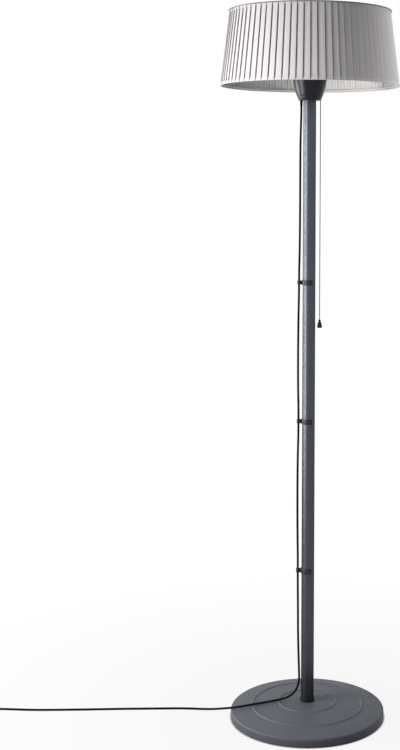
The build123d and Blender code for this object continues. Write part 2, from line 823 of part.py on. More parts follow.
# ------------------------------------------------------------------ mains lead's entry
gland_seat_z = cup_z + cup_wall + slide_gap
with BuildPart() as cord_gland:
    with BuildSketch(Plane.XY.offset(cup_z)):
        with Locations((gland_x, 0)):
            RegularPolygon(gland_dia / 2, 2 * screw_sides)
    extrude(amount=gland_above)
    with BuildSketch(Plane.XY.offset(gland_seat_z)):
        with Locations((gland_x, 0)):
            RegularPolygon(gland_collar_dia / 2, 2 * screw_sides)
    extrude(amount=gland_collar_height)
    with BuildSketch(Plane.XY.offset(cup_z)):
        with Locations((gland_x, 0)):
            RegularPolygon(gland_dia / 2, 2 * screw_sides)
    extrude(amount=-gland_below, taper=gland_taper)
keep(cord_gland.part, "cord_gland")

terminal_x = -(post_r + case_clear + terminal_size[0] / 2)
terminal_bottom_z = chassis_z - terminal_size[2]
with BuildPart() as power_cord_inside:
    with BuildSketch(Plane.XY.offset(cup_z + gland_above)):
        with Locations((gland_x, 0)):
            Circle(lead_r)
    extrude(amount=terminal_bottom_z - cup_z - gland_above)
keep(power_cord_inside.part, "power_cord_inside")

with BuildPart() as terminal_block:
    with BuildSketch(Plane.XY.offset(terminal_bottom_z)):
        with Locations((terminal_x, 0)):
            Rectangle(terminal_size[0], terminal_size[1])
    extrude(amount=terminal_size[2])
    with BuildSketch(Plane.YZ.offset(terminal_x - terminal_size[0] / 2)):
        with Locations((0, chassis_z - terminal_size[2] / 2)):
            with GridLocations(terminal_hole_pitch, 1, 3, 1):
                RegularPolygon(terminal_hole_dia / 2, screw_sides)
    extrude(amount=terminal_size[0] / 2, mode=Mode.SUBTRACT)
keep(terminal_block.part, "terminal_block")

with BuildPart() as tilt_switch:
    with BuildSketch(Plane.XY.offset(chassis_z - tilt_size[2])):
        with Locations((0, post_r + tilt_clear + tilt_size[1] / 2)):
            Rectangle(tilt_size[0], tilt_size[1])
    extrude(amount=tilt_size[2])
    chamfer(tilt_switch.edges().filter_by(Axis.Z), tilt_bevel)
keep(tilt_switch.part, "tilt_switch")

# ------------------------------------------------------------------ pull switch
case_x = post_r + case_clear
case_z = chassis_z - case_height
case_y = -case_depth / 2
rotor_x = pull_x - pull_r - pull_to_rotor_gap - rotor_dia / 2
rotor_z = chassis_z - rotor_axis_drop
cavity_depth = case_depth - 2 * case_wall
with BuildPart() as switch_case:
    with BuildSketch(Plane.XY.offset(case_z)):
        with Locations((case_x + case_width / 2, case_wall / 2)):
            Rectangle(case_width, case_depth - case_wall)
    extrude(amount=case_height)
    with BuildSketch(Plane.XY.offset(case_z + case_wall)):
        with Locations((case_x + case_width / 2, 0)):
            Rectangle(case_width - 2 * case_wall, cavity_depth)
    extrude(amount=case_height - 2 * case_wall, mode=Mode.SUBTRACT)
    with BuildSketch(Plane.XY.offset(case_z)):
        with Locations((pull_x, 0)):
            Circle(pull_r + rest_gap)
    extrude(amount=case_wall, mode=Mode.SUBTRACT)
    with BuildSketch(Plane.XZ.offset(-case_depth / 2)):
        with Locations((rotor_x, rotor_z)):
            Circle(switch_pin_dia / 2)
    extrude(amount=case_wall, mode=Mode.SUBTRACT)
keep(switch_case.part, "switch_case")

with BuildPart() as switch_lid:
    with BuildSketch(Plane.XZ.offset(-case_y)):
        with Locations((case_x + case_width / 2, case_z + case_height / 2)):
            Rectangle(case_width, case_height)
        with Locations((rotor_x, rotor_z)):
            Circle(switch_pin_dia / 2, mode=Mode.SUBTRACT)
    extrude(amount=-case_wall)
keep(switch_lid.part, "switch_lid")

with BuildPart() as switch_pin:
    with BuildSketch(Plane.XZ.offset(-case_depth / 2)):
        with Locations((rotor_x, rotor_z)):
            Circle(switch_pin_dia / 2)
    extrude(amount=case_depth)
keep(switch_pin.part, "switch_pin")

ratchet_line = []
for i in range(rotor_ratchet_teeth):
    root_angle = radians(360 * i / rotor_ratchet_teeth)
    tip_angle = radians(360 * (i + ratchet_tip_share) / rotor_ratchet_teeth)
    for tooth_angle, tooth_r in ((root_angle, rotor_root_dia / 2), (tip_angle, rotor_dia / 2)):
        ratchet_line.append((tooth_r * cos(tooth_angle), tooth_r * sin(tooth_angle)))

with BuildPart() as switch_rotor:
    with BuildSketch(Plane.XZ.offset(-rotor_width / 2)):
        with Locations((rotor_x, rotor_z)):
            RegularPolygon(rotor_dia / 2, 2 * screw_sides)
    extrude(amount=rotor_width)
    with BuildSketch(Plane.XZ.offset(rotor_width / 2)):
        with Locations((rotor_x, rotor_z)):
            Polygon(*ratchet_line, align=None)
    extrude(amount=ratchet_width)
    with BuildSketch(Plane.XZ.offset(-cavity_depth / 2 + rest_gap)):
        with Locations((rotor_x, rotor_z)):
            Circle(switch_pin_dia / 2 + running_gap)
    extrude(amount=cavity_depth, mode=Mode.SUBTRACT)
keep(switch_rotor.part, "switch_rotor")

spring_y = rotor_width / 2 + rest_gap
spring_length = cavity_depth / 2 - spring_y
with BuildPart() as switch_spring:
    with BuildSketch(Plane.XZ.offset(-cavity_depth / 2)):
        with Locations((rotor_x, rotor_z)):
            RegularPolygon(spring_dia / 2, round_sides)
            RegularPolygon(spring_dia / 2 - spring_wire, round_sides, mode=Mode.SUBTRACT)
    extrude(amount=spring_length)
keep(switch_spring.part, "switch_spring")

contact_z = case_z + case_height - case_wall - contact_size[2]
with BuildPart() as switch_contacts:
    with BuildSketch(Plane.XY.offset(contact_z)):
        with Locations((case_x + case_width - case_wall - contact_size[0] / 2, 0)):
            with GridLocations(1, contact_size[1] + contact_size[0], 1, contact_count):
                Rectangle(contact_size[0], contact_size[1])
    extrude(amount=contact_size[2])
keep(switch_contacts.part, "switch_contacts")

with BuildPart() as cord_bush:
    with BuildSketch(Plane.XY.offset(cup_z - rest_gap)):
        with Locations((pull_x, 0)):
            Circle(bush_dia / 2)
            Circle(pull_r + cord_gap, mode=Mode.SUBTRACT)
    extrude(amount=bush_height)
keep(cord_bush.part, "cord_bush")

with BuildPart() as pull_cord:
    with BuildSketch(Plane.XY.offset(knob_top_z)):
        with Locations((pull_x, 0)):
            Circle(pull_r)
    extrude(amount=rotor_z - knob_top_z)
keep(pull_cord.part, "pull_cord")

knob_bottom_z = knob_top_z - knob_height
knob_taper = degrees(atan2((knob_dia - knob_top_dia) / 2, knob_height - knob_edge))
with BuildPart() as pull_knob:
    with BuildSketch(Plane.XY.offset(knob_bottom_z + knob_edge)):
        with Locations((pull_x, 0)):
            RegularPolygon(knob_dia / 2, knob_sides)
    extrude(amount=knob_height - knob_edge, taper=knob_taper)
    with BuildSketch(Plane.XY.offset(knob_bottom_z + knob_edge)):
        with Locations((pull_x, 0)):
            RegularPolygon(knob_dia / 2, knob_sides)
    extrude(amount=-knob_edge, taper=knob_edge_taper)
keep(pull_knob.part, "pull_knob")

# ------------------------------------------------------------------ heater
with BuildPart() as hub_flange:
    with BuildSketch(Plane.XY.offset(dish_hub_z + dish_wall)):
        Circle(hub_flange_dia / 2)
        Circle(post_hole_r, mode=Mode.SUBTRACT)
        with PolarLocations(cup_screw_circle_dia / 2, cup_screw_count, start_angle=90):
            RegularPolygon(cup_screw_dia / 2 + slide_gap, screw_sides, mode=Mode.SUBTRACT)
    extrude(amount=hub_flange_wall)
keep(hub_flange.part, "hub_flange")


def bent_sheet(points, wall):
    """The section of a sheet whose wall lies on the left of a bent line."""
    with BuildSketch() as section:
        with BuildLine():
            Polyline(*points)
            offset(amount=wall, side=Side.LEFT, kind=Kind.INTERSECTION)
        make_face()
    return section.sketch


crown_z = dish_hub_z + dish_crown_rise
bracket_from_middle = (tube_length + tube_end_length) / 2
bracket_side = tube_from_axis + bracket_width / 2
bracket_corner_r = sqrt(bracket_side**2 + (bracket_from_middle + bracket_foot) ** 2)
crown_outer_r = bracket_corner_r + dish_crown_margin
dish_line = [
    (post_hole_r, dish_hub_z),
    (dish_hub_dia / 2, dish_hub_z),
    (dish_crown_inner_dia / 2, crown_z),
    (crown_outer_r, crown_z),
    (dish_mouth_r, rim_z),
    (rim_r, rim_z),
]
dish_section = bent_sheet(dish_line, dish_wall)
with BuildPart() as reflector:
    with BuildSketch(Plane.XZ):
        add(dish_section)
    revolve(axis=Axis.Z)
    with BuildSketch(Plane.XY.offset(rim_z)):
        with PolarLocations(rim_screw_circle_r, guard_spokes):
            RegularPolygon(rim_screw_dia / 2 + slide_gap, screw_sides)
        with PolarLocations(cup_screw_circle_dia / 2, cup_screw_count, start_angle=90):
            RegularPolygon(cup_screw_dia / 2 + slide_gap, screw_sides)
    extrude(amount=dish_mouth_drop + 2 * dish_wall, mode=Mode.SUBTRACT)
keep(reflector.part, "reflector")

housing_line = [
    (post_hole_r, housing_rim_z + housing_top_rise),
    (housing_side_r, housing_rim_z + housing_top_rise),
    (housing_side_r, housing_rim_z),
    (rim_r, housing_rim_z),
]
housing_section = bent_sheet(housing_line, housing_wall)
with BuildPart() as heater_housing:
    with BuildSketch(Plane.XZ):
        add(housing_section)
    revolve(axis=Axis.Z)
    with BuildSketch(Plane.XY.offset(rim_z)):
        with PolarLocations(rim_screw_circle_r, guard_spokes):
            RegularPolygon(rim_screw_dia / 2 + slide_gap, screw_sides)
    extrude(amount=2 * dish_wall + housing_wall, mode=Mode.SUBTRACT)
keep(heater_housing.part, "heater_housing")


def lamp_planes():
    """One plane across each lamp's middle: x points away from the pole and y points up."""
    planes = []
    for x, y in at_angles(tube_from_axis, tube_count, 90):
        along = (y / tube_from_axis, -x / tube_from_axis, 0)
        outward = (x / tube_from_axis, y / tube_from_axis, 0)
        planes.append(Plane(origin=(x, y, tube_z), x_dir=outward, z_dir=along))
    return planes


with BuildPart() as quartz_tubes:
    for plane in lamp_planes():
        with BuildSketch(plane):
            Circle(tube_dia / 2)
            Circle(tube_dia / 2 - tube_wall, mode=Mode.SUBTRACT)
        extrude(amount=tube_length / 2, both=True)
keep(quartz_tubes.part, "quartz_tubes")

with BuildPart() as filaments:
    for plane in lamp_planes():
        with BuildSketch(plane):
            RegularPolygon(filament_dia / 2, 6)
        extrude(amount=tube_length / 2, both=True)
keep(filaments.part, "filaments")

with BuildPart() as tube_ends:
    for plane in lamp_planes():
        for side in (1, -1):
            with BuildSketch(plane.offset(side * tube_length / 2)):
                Rectangle(tube_end_size, tube_end_size)
            extrude(amount=side * tube_end_length)
keep(tube_ends.part, "tube_ends")

with BuildPart() as tube_brackets:
    for plane in lamp_planes():
        for side in (1, -1):
            with BuildSketch(plane.offset(side * bracket_from_middle)):
                with Locations((0, (tube_end_size / 2 + crown_z - tube_z) / 2)):
                    Rectangle(bracket_width, crown_z - tube_z - tube_end_size / 2)
            extrude(amount=side * bracket_wall)
            with BuildSketch(plane.offset(side * bracket_from_middle)):
                with Locations((0, crown_z - tube_z - bracket_wall / 2)):
                    Rectangle(bracket_width, bracket_wall)
            extrude(amount=side * bracket_foot)
keep(tube_brackets.part, "tube_brackets")

spoke_z = rim_z - 2 * guard_wire + guard_weld
spoke_start = guard_ring_dias[0] / 2 - guard_wire / 2
with BuildPart() as guard:
    for ring_dia in (*guard_ring_dias, 2 * guard_outer_r):
        with BuildSketch(Plane.XY.offset(rim_z - guard_wire)):
            RegularPolygon(ring_dia / 2 + guard_wire / 2, wire_sides)
            RegularPolygon(ring_dia / 2 - guard_wire / 2, wire_sides, mode=Mode.SUBTRACT)
        extrude(amount=guard_wire)
    with BuildSketch(Plane.XY.offset(spoke_z)):
        with PolarLocations((spoke_start + guard_outer_r) / 2, guard_spokes):
            Rectangle(guard_outer_r - spoke_start, guard_wire)
    extrude(amount=guard_wire)
    with BuildSketch(Plane.XY.offset(rim_z - guard_tab_wall)):
        with PolarLocations((guard_outer_r + rim_r) / 2, guard_spokes):
            Rectangle(rim_r - guard_outer_r - guard_tab_inset, guard_tab_width)
        with PolarLocations(rim_screw_circle_r, guard_spokes):
            RegularPolygon(rim_screw_dia / 2 + slide_gap, screw_sides, mode=Mode.SUBTRACT)
    extrude(amount=guard_tab_wall)
keep(guard.part, "guard")

with BuildPart() as rim_screws:
    with BuildSketch(Plane.XY.offset(rim_z - guard_tab_wall - rim_screw_head_height)):
        with PolarLocations(rim_screw_circle_r, guard_spokes):
            RegularPolygon(rim_screw_head_dia / 2, 6)
    extrude(amount=rim_screw_head_height)
    with BuildSketch(Plane.XY.offset(rim_z - guard_tab_wall)):
        with PolarLocations(rim_screw_circle_r, guard_spokes):
            RegularPolygon(rim_screw_dia / 2, screw_sides)
    extrude(amount=rim_screw_length)
keep(rim_screws.part, "rim_screws")

# ------------------------------------------------------------------ shade
pleat_deg = 360 / pleat_count
overhang_deg = degrees(pleat_overhang / fold_r_bottom)
shade_scale = fold_r_top / fold_r_bottom


def pleat_outline(scale):
    """The fabric's outer outline: each band rises from a tuck to a fold that hangs over the next."""
    outline = []
    for i in range(pleat_count):
        tuck_angle = radians(i * pleat_deg)
        fold_angle = radians((i + 1) * pleat_deg + overhang_deg)
        tuck_r = (fold_r_bottom - pleat_depth) * scale
        outline.append((tuck_r * cos(tuck_angle), tuck_r * sin(tuck_angle)))
        outline.append((fold_r_bottom * scale * cos(fold_angle), fold_r_bottom * scale * sin(fold_angle)))
    return outline


with BuildPart() as shade_fabric:
    for height, scale in ((shade_z, 1), (shade_top_z, shade_scale)):
        with BuildSketch(Plane.XY.offset(height)):
            Polygon(*pleat_outline(scale), align=None)
    loft(ruled=True)
    for height, scale in ((shade_z, 1), (shade_top_z, shade_scale)):
        with BuildSketch(Plane.XY.offset(height)):
            RegularPolygon((fold_r_bottom - pleat_depth) * scale - fabric_wall, pleat_count)
    loft(ruled=True, mode=Mode.SUBTRACT)
keep(shade_fabric.part, "shade_fabric")


def pleat_band(radius_at, low, high, wall, sides, turn=0.0):
    """A band round the pole with flat sides, whose outer corners follow radius_at."""
    with BuildPart() as band:
        for inset, mode in ((0, Mode.ADD), (wall, Mode.SUBTRACT)):
            for height in (low, high):
                with BuildSketch(Plane.XY.offset(height)):
                    RegularPolygon(radius_at(height) - inset, sides, rotation=turn)
            loft(ruled=True, mode=mode)
    return band.part


def frame_r(z):
    """Outer radius of the frame's rings, which lie against the lining."""
    return lining_r(z) - lining_wall


def trim_r(z):
    """Outer radius of the trim bands, just clear of the folds."""
    return fold_r(z) + running_gap + trim_wall


keep(pleat_band(lining_r, shade_z, shade_top_z, lining_wall, pleat_count), "shade_lining")

ring_sides = pleat_count // 2
ring_low_z = shade_z + frame_inset
ring_top_z = shade_top_z - frame_inset
arm_z = ring_top_z - frame_wire - arm_wall
bottom_ring = pleat_band(frame_r, ring_low_z, ring_low_z + frame_wire, frame_wire, ring_sides)
keep(bottom_ring, "shade_frame_bottom")

arm_end_r = frame_r(ring_top_z) - frame_wire / 4
top_ring = pleat_band(frame_r, ring_top_z - frame_wire, ring_top_z, frame_wire, ring_sides)
with BuildPart() as shade_frame_top:
    add(top_ring)
    with BuildSketch(Plane.XY.offset(arm_z)):
        with PolarLocations(arm_end_r / 2, arm_count):
            Rectangle(arm_end_r, arm_width)
        Circle(spider_hub_dia / 2)
        Circle(stud_dia / 2 + slide_gap, mode=Mode.SUBTRACT)
    extrude(amount=arm_wall)
keep(shade_frame_top.part, "shade_frame_top")

strut_low_z = ring_low_z + frame_wire
strut_high_z = ring_top_z - frame_wire
ring_flat_share = cos(radians(180 / ring_sides))
strut_r_low = frame_r(strut_low_z) * ring_flat_share - frame_wire / 2
strut_r_high = frame_r(strut_high_z) * ring_flat_share - frame_wire / 2
with BuildPart() as shade_struts:
    lows = at_angles(strut_r_low, strut_count, strut_start_deg)
    highs = at_angles(strut_r_high, strut_count, strut_start_deg)
    for low, high in zip(lows, highs):
        for height, centre in ((strut_low_z, low), (strut_high_z, high)):
            with BuildSketch(Plane.XY.offset(height)):
                with Locations(centre):
                    RegularPolygon(frame_wire / 2, screw_sides)
        loft(ruled=True)
keep(shade_struts.part, "shade_struts")

bottom_trim = pleat_band(trim_r, shade_z, shade_z + trim_width, trim_wall, pleat_count, overhang_deg)
keep(bottom_trim, "shade_trim_bottom")
top_trim = pleat_band(trim_r, shade_top_z - trim_width, shade_top_z, trim_wall, pleat_count, overhang_deg)
keep(top_trim, "shade_trim_top")

# ------------------------------------------------------------------ top cap and its fixing
cap_sheet_z = shade_top_z + rest_gap
cap_inner_r = trim_r(cap_sheet_z - cap_lip) + cap_side_gap
cap_centre_z = cap_sheet_z + cap_rise
cap_hole_r = stud_dia / 2 + slide_gap
cap_line = [
    (cap_hole_r, cap_centre_z),
    (cap_rise_dia / 2, cap_centre_z),
    (cap_rise_dia / 2 + cap_rise, cap_sheet_z),
    (cap_inner_r, cap_sheet_z),
    (cap_inner_r, cap_sheet_z - cap_lip),
]
cap_section = bent_sheet(cap_line, cap_wall)
with BuildPart() as top_cap:
    with BuildSketch(Plane.XZ):
        add(cap_section)
    revolve(axis=Axis.Z)
keep(top_cap.part, "top_cap")

nut_z = cap_centre_z + cap_wall + cap_washer_wall
stud_top_z = nut_z + cap_nut_height
with BuildPart() as post_plug:
    with BuildSketch(Plane.XY.offset(post_top_z - post_plug_depth)):
        Circle(post_r - post_wall - slide_gap)
    extrude(amount=post_plug_depth)
    with BuildSketch(Plane.XY.offset(post_top_z)):
        Circle(post_r)
    extrude(amount=post_plug_flange)
    with BuildSketch(Plane.XY.offset(arm_z)):
        Circle(stud_dia / 2)
    extrude(amount=stud_top_z - arm_z)
keep(post_plug.part, "post_plug")

with BuildPart() as cap_spacer:
    with BuildSketch(Plane.XY.offset(arm_z + arm_wall)):
        RegularPolygon(stud_dia, round_sides)
        RegularPolygon(cap_hole_r, round_sides, mode=Mode.SUBTRACT)
    extrude(amount=cap_centre_z - arm_z - arm_wall)
keep(cap_spacer.part, "cap_spacer")

with BuildPart() as cap_washer_nut:
    with BuildSketch(Plane.XY.offset(cap_centre_z + cap_wall)):
        RegularPolygon(cap_washer_dia / 2, round_sides)
    extrude(amount=cap_washer_wall)
    with BuildSketch(Plane.XY.offset(nut_z)):
        RegularPolygon(cap_nut_across / 2, 6, major_radius=False)
    extrude(amount=cap_nut_height)
    with BuildSketch(Plane.XY.offset(nut_z + cap_nut_height)):
        RegularPolygon(cap_nut_across / 2, 2 * screw_sides)
    extrude(amount=cap_nut_dome, taper=cap_nut_taper)
    with BuildSketch(Plane.XY.offset(cap_centre_z + cap_wall)):
        RegularPolygon(cap_hole_r, round_sides)
    extrude(amount=cap_washer_wall + cap_nut_height + slide_gap, mode=Mode.SUBTRACT)
keep(cap_washer_nut.part, "cap_washer_nut")
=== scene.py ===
import random
from math import atan, cos, exp, pi, radians, sin, sqrt, tan

import bmesh
import bpy
from mathutils import Matrix, Vector


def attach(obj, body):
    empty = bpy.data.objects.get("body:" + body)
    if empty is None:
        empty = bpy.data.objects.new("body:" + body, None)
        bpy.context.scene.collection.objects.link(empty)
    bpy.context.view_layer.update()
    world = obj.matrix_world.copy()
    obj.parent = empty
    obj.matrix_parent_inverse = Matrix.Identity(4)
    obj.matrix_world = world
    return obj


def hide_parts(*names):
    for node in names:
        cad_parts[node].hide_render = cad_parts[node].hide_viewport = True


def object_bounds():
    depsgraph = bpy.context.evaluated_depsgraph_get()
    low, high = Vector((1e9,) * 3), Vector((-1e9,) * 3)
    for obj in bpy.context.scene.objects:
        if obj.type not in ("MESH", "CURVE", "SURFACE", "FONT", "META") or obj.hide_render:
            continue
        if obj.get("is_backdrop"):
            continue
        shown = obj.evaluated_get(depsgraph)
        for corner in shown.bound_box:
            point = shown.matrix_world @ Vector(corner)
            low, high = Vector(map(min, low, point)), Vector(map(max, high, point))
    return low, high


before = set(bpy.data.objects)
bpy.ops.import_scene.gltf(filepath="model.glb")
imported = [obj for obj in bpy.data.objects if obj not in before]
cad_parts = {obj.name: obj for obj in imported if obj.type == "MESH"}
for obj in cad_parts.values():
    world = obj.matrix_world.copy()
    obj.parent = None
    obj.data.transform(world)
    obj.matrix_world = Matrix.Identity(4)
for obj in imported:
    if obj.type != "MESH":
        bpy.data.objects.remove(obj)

# Every length in this script's own values is in millimetres; meshes are made in metres.
MM = 0.001
scene = bpy.context.scene
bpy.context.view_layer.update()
chance = random.Random(41)

# ---------- camera
camera_data = bpy.data.cameras.new("photo_camera")
camera = bpy.data.objects.new("photo_camera", camera_data)
scene.collection.objects.link(camera)
scene.camera = camera
focal_px, frame_px = 1301.0, (400, 750)
axis_px = (309.5, 181.8)  # where the camera's axis meets the picture, from its top left
roll = radians(-0.25)
camera.location = (0, -3.878, 1.590)
camera.rotation_euler = (radians(90), roll, 0)
camera_data.sensor_width = 36
camera_data.lens = focal_px * camera_data.sensor_width / frame_px[1]
camera_data.shift_x = (frame_px[0] / 2 - axis_px[0]) / frame_px[1]
camera_data.shift_y = (axis_px[1] - frame_px[1] / 2) / frame_px[1]
camera_data.clip_start, camera_data.clip_end = 0.05, 60

# ---------- places shared with the solids
BASE_TOP, BASE_RIM, BASE_R = 45.5, 24.0, 227.0
BEADS = (84, 162)  # radii of the raised rings in the base
BEAD_WIDTH, BEAD_HEIGHT = 7.6, 2.3
BOLT_BORE, FOOT_RING, FOOT_TOP, PLATE_TOP = 5.3, 196.0, 4.0, 5.5
POLE_R, POLE_BORE = 19.0, 17.5
POLE_FOOT, JOINT, JOINT_TOP, POLE_TOP = 48.5, 1356.0, 1370.5, 1862.0
CUP, CUP_SPLIT, CUP_FLANGE = 1832.0, 1845.0, 1947.0
CUP_WALL = 2.4
RIM, HUB, CROWN, LAMP = 1946.0, 1950.0, 1986.0, 1962.0
DISH_R, POST_HOLE = 215.6, 17.5
SHADE, SHADE_TOP = 1874.0, 2097.0
SHADE_R, SHADE_TAPER = 267.5, 27.0  # radius at the bottom, and how much less it is at the top
LEAD_R = 3.25
CLIPS = {"lower": 432.51, "middle": 876.54, "upper": 1289.97}
CLIP_X = -29.8
GLAND_X = -25.2
PULL_X, PULL_R = 31.8, 1.15
KNOB, KNOB_TOP = 1155.0, 1180.0
COIL_X, COIL_Y, COIL_R, COIL_PITCH, COIL_TURNS = -972.0, -10.0, 40.5, 7.1, 2.25


def dome_z(r):
    """Height of the base's dome at radius r."""
    return BASE_TOP - (BASE_TOP - BASE_RIM) * (r / BASE_R) ** 2


def cup_r(height):
    """Outer radius of the bell at a height above the cup's floor; it closes in on 57.25."""
    return 57.25 - 24.66 * exp(-height / 48)


def fold_r(z):
    """Radius of the pleats' folds at height z."""
    return SHADE_R - SHADE_TAPER * (z - SHADE) / (SHADE_TOP - SHADE)


# ---------- finishes
def add_node(tree, kind, inputs, **settings):
    """A shader node with its settings; each input gets a value or a link from a socket."""
    made = tree.nodes.new("ShaderNode" + kind)
    for name, value in settings.items():
        setattr(made, name, value)
    for name, value in inputs.items():
        if isinstance(value, bpy.types.NodeSocket):
            tree.links.new(value, made.inputs[name])
        else:
            made.inputs[name].default_value = value
    return made


class Finish:
    """A procedural material: a Principled shader whose colour, roughness and relief vary."""

    def __init__(self, name, color, roughness, **sockets):
        self.material = bpy.data.materials.new(name)
        self.material.use_nodes = True
        self.tree = self.material.node_tree
        self.shader = next(n for n in self.tree.nodes if n.type == "BSDF_PRINCIPLED")
        self.color = color
        self.tinted = (*color, 1)
        self.relief = None
        sockets.update(Base_Color=self.tinted, Roughness=roughness)
        for socket, value in sockets.items():
            self.shader.inputs[socket.replace("_", " ")].default_value = value
        self.coords = self.node("TexCoord", {}).outputs

    def node(self, kind, inputs, **settings):
        return add_node(self.tree, kind, inputs, **settings)

    def feed(self, source, socket):
        self.tree.links.new(source, self.shader.inputs[socket])
        return self

    def place(self, stretch, space):
        inputs = {"Scale": stretch, "Vector": self.coords[space]}
        return self.node("Mapping", inputs).outputs["Vector"]

    def noise(self, scale, detail, stretch=(1, 1, 1), space="Object"):
        inputs = {"Scale": scale, "Detail": detail, "Vector": self.place(stretch, space)}
        return self.node("TexNoise", inputs).outputs["Fac"]

    def cells(self, scale, stretch=(1, 1, 1)):
        inputs = {"Scale": scale, "Vector": self.place(stretch, "Object")}
        return self.node("TexVoronoi", inputs).outputs["Distance"]

    def bands(self, scale, direction):
        inputs = {"Scale": scale, "Vector": self.coords["UV"]}
        return self.node("TexWave", inputs, bands_direction=direction).outputs["Fac"]

    def math(self, operation, a, b):
        return self.node("Math", {0: a, 1: b}, operation=operation).outputs[0]

    def spread(self, fac, low, high, start=0.35, end=0.65):
        """Turns start to end of fac into low to high."""
        inputs = {"Value": fac, "From Min": start, "From Max": end, "To Min": low, "To Max": high}
        return self.node("MapRange", inputs).outputs["Result"]

    def tint(self, fac, color):
        """Mixes another colour in where fac is high."""
        inputs = {0: fac, 6: self.tinted, 7: (*color, 1)}
        self.tinted = self.node("Mix", inputs, data_type="RGBA").outputs[2]
        return self.feed(self.tinted, "Base Color")

    def vary(self, fac, share, factor, start=0.35, end=0.65):
        """Mixes in up to a share of the own colour times a factor, where fac is high."""
        return self.tint(self.spread(fac, 0, share, start, end), [c * factor for c in self.color])

    def height(self):
        return self.node("SeparateXYZ", {0: self.coords["Object"]}).outputs["Z"]

    def crease(self):
        """The share of a fold's depth, kept at the mesh's points; it weighs the painted shade in
        the folds.
        """
        return self.node("Attribute", {}, attribute_name="crease").outputs["Fac"]

    def roughen(self, fac, low, high):
        return self.feed(self.spread(fac, low, high), "Roughness")

    def bump(self, fac, distance, strength):
        """Relief of the given height in millimetres."""
        inputs = {"Distance": distance * MM, "Strength": strength, "Height": fac}
        if self.relief is not None:
            inputs["Normal"] = self.relief
        self.relief = self.node("Bump", inputs).outputs["Normal"]
        return self.feed(self.relief, "Normal")


def powder_coat(name, color, roughness, specular=0.35, low=None, **sockets):
    """Satin powder coat: fine orange peel, faint clouding and a little dust.

    low, where painted shade darkens the coat downwards, holds the height where it is darkest,
    the height where that starts, and the factor on the colour."""
    made = Finish(name, color, roughness, Specular_IOR_Level=specular, **sockets)
    made.vary(made.noise(9, 3), 0.35, 1.25)
    made.vary(made.noise(1400, 1), 0.25, 1.6, 0.55, 0.7)
    # Painted shade: darker towards the bottom.
    if low:
        foot, top, factor = low
        down = made.spread(made.height(), 1, 0, foot * MM, top * MM)
        made.tint(down, [c * factor for c in color])
    made.roughen(made.noise(60, 3), roughness - 0.05, roughness + 0.06)
    made.bump(made.noise(650, 2), 0.05, 0.5)
    return made.material


def plated(name, color, roughness, grain=(1, 1, 1)):
    """Bright metal with drawn lines and small cloudy marks."""
    made = Finish(name, color, roughness, Metallic=1.0)
    made.vary(made.noise(25, 4), 0.5, 0.8)
    made.roughen(made.noise(500, 2, grain), roughness - 0.08, roughness + 0.1)
    made.bump(made.noise(900, 2, grain), 0.015, 0.4)
    return made.material


def moulded(name, color, roughness, specular=0.5, grain=900, relief=0.03):
    """Moulded plastic or rubber with a fine skin."""
    made = Finish(name, color, roughness, Specular_IOR_Level=specular)
    made.tint(made.spread(made.noise(40, 3), 0, 0.5), [c * 1.5 + 0.002 for c in color])
    made.roughen(made.noise(120, 3), max(roughness - 0.06, 0.05), roughness + 0.08)
    made.bump(made.noise(grain, 2), relief, 0.4)
    return made.material


def cloth(name, color, dark, pitch, slub, shadow, streak=0.0, painted_top_shade=0.0):
    """Woven cloth along the mesh's UVs, in metres: crossing threads of uneven thickness.

    shadow is painted shade in the creases; the last argument darkens the top as painted shade."""
    made = Finish(name, color, 0.85, Specular_IOR_Level=0.2, Sheen_Weight=0.15,
                  Sheen_Roughness=0.5)
    threads = pi * 2 / (pitch * MM * 20)
    weave = made.math("MAXIMUM", made.bands(threads, "X"), made.bands(threads, "Y"))
    along = made.noise(1, 2, (60, 1600, 1), "UV")
    across = made.noise(1, 2, (1600, 60, 1), "UV")
    slubs = made.math("MAXIMUM", along, across)
    made.tint(made.spread(slubs, 0, slub, 0.52, 0.72), dark)
    if streak:
        made.vary(made.noise(1, 2, (330, 9, 1), "UV"), streak, 0.82, 0.4, 0.7)
    made.vary(made.noise(14, 3), 0.25, 0.93)
    # Painted shade: the cloth darkens towards the shade's top.
    if painted_top_shade:
        made.vary(made.height(), 1, painted_top_shade, SHADE * MM, SHADE_TOP * MM)
    # Painted shade: the creases darken by the crease mask.
    made.tint(made.crease(), shadow)
    made.bump(slubs, 0.12, 0.5).bump(weave, 0.08, 0.5)
    return made.material


# The pole's metallic coat with a dark tint keeps its edges dark where light grazes them.
# Painted shade darkens this coat downwards from the pole's top to the floor.
anthracite = powder_coat("anthracite_powder_coat", (0.076, 0.080, 0.093), 0.38, 0.5,
                         (0, POLE_TOP, 0.74), Metallic=0.9, Specular_Tint=(0.4, 0.42, 0.46, 1))
foot_ring_paint = powder_coat("foot_ring_paint", (0.010, 0.011, 0.014), 0.5, 0.1)
# Painted shade darkens the base's rim wall below 26 mm.
base_paint = powder_coat("base_powder_coat", (0.103, 0.110, 0.131), 0.56, 0.25, (18, 26, 0.62))
cup_black = Finish("cup_gloss_black", (0.0025, 0.0025, 0.0045), 0.3, Specular_IOR_Level=0.27,
                   Specular_Tint=(0.88, 0.93, 1.0, 1))
cup_black.roughen(cup_black.noise(30, 4), 0.26, 0.36)
cup_dust = cup_black.spread(cup_black.noise(300, 2), 0, 0.3, 0.5, 0.75)
cup_black.tint(cup_dust, (0.012, 0.012, 0.015)).bump(cup_black.noise(220, 2), 0.02, 0.3)
cup_black = cup_black.material
rubber = moulded("black_rubber", (0.006, 0.006, 0.007), 0.5, 0.03)
foot_rubber = moulded("foot_rubber", (0.02, 0.02, 0.02), 0.75, 0.3, 500, 0.08)
black_plastic = moulded("black_plastic", (0.012, 0.013, 0.016), 0.38, 0.25)
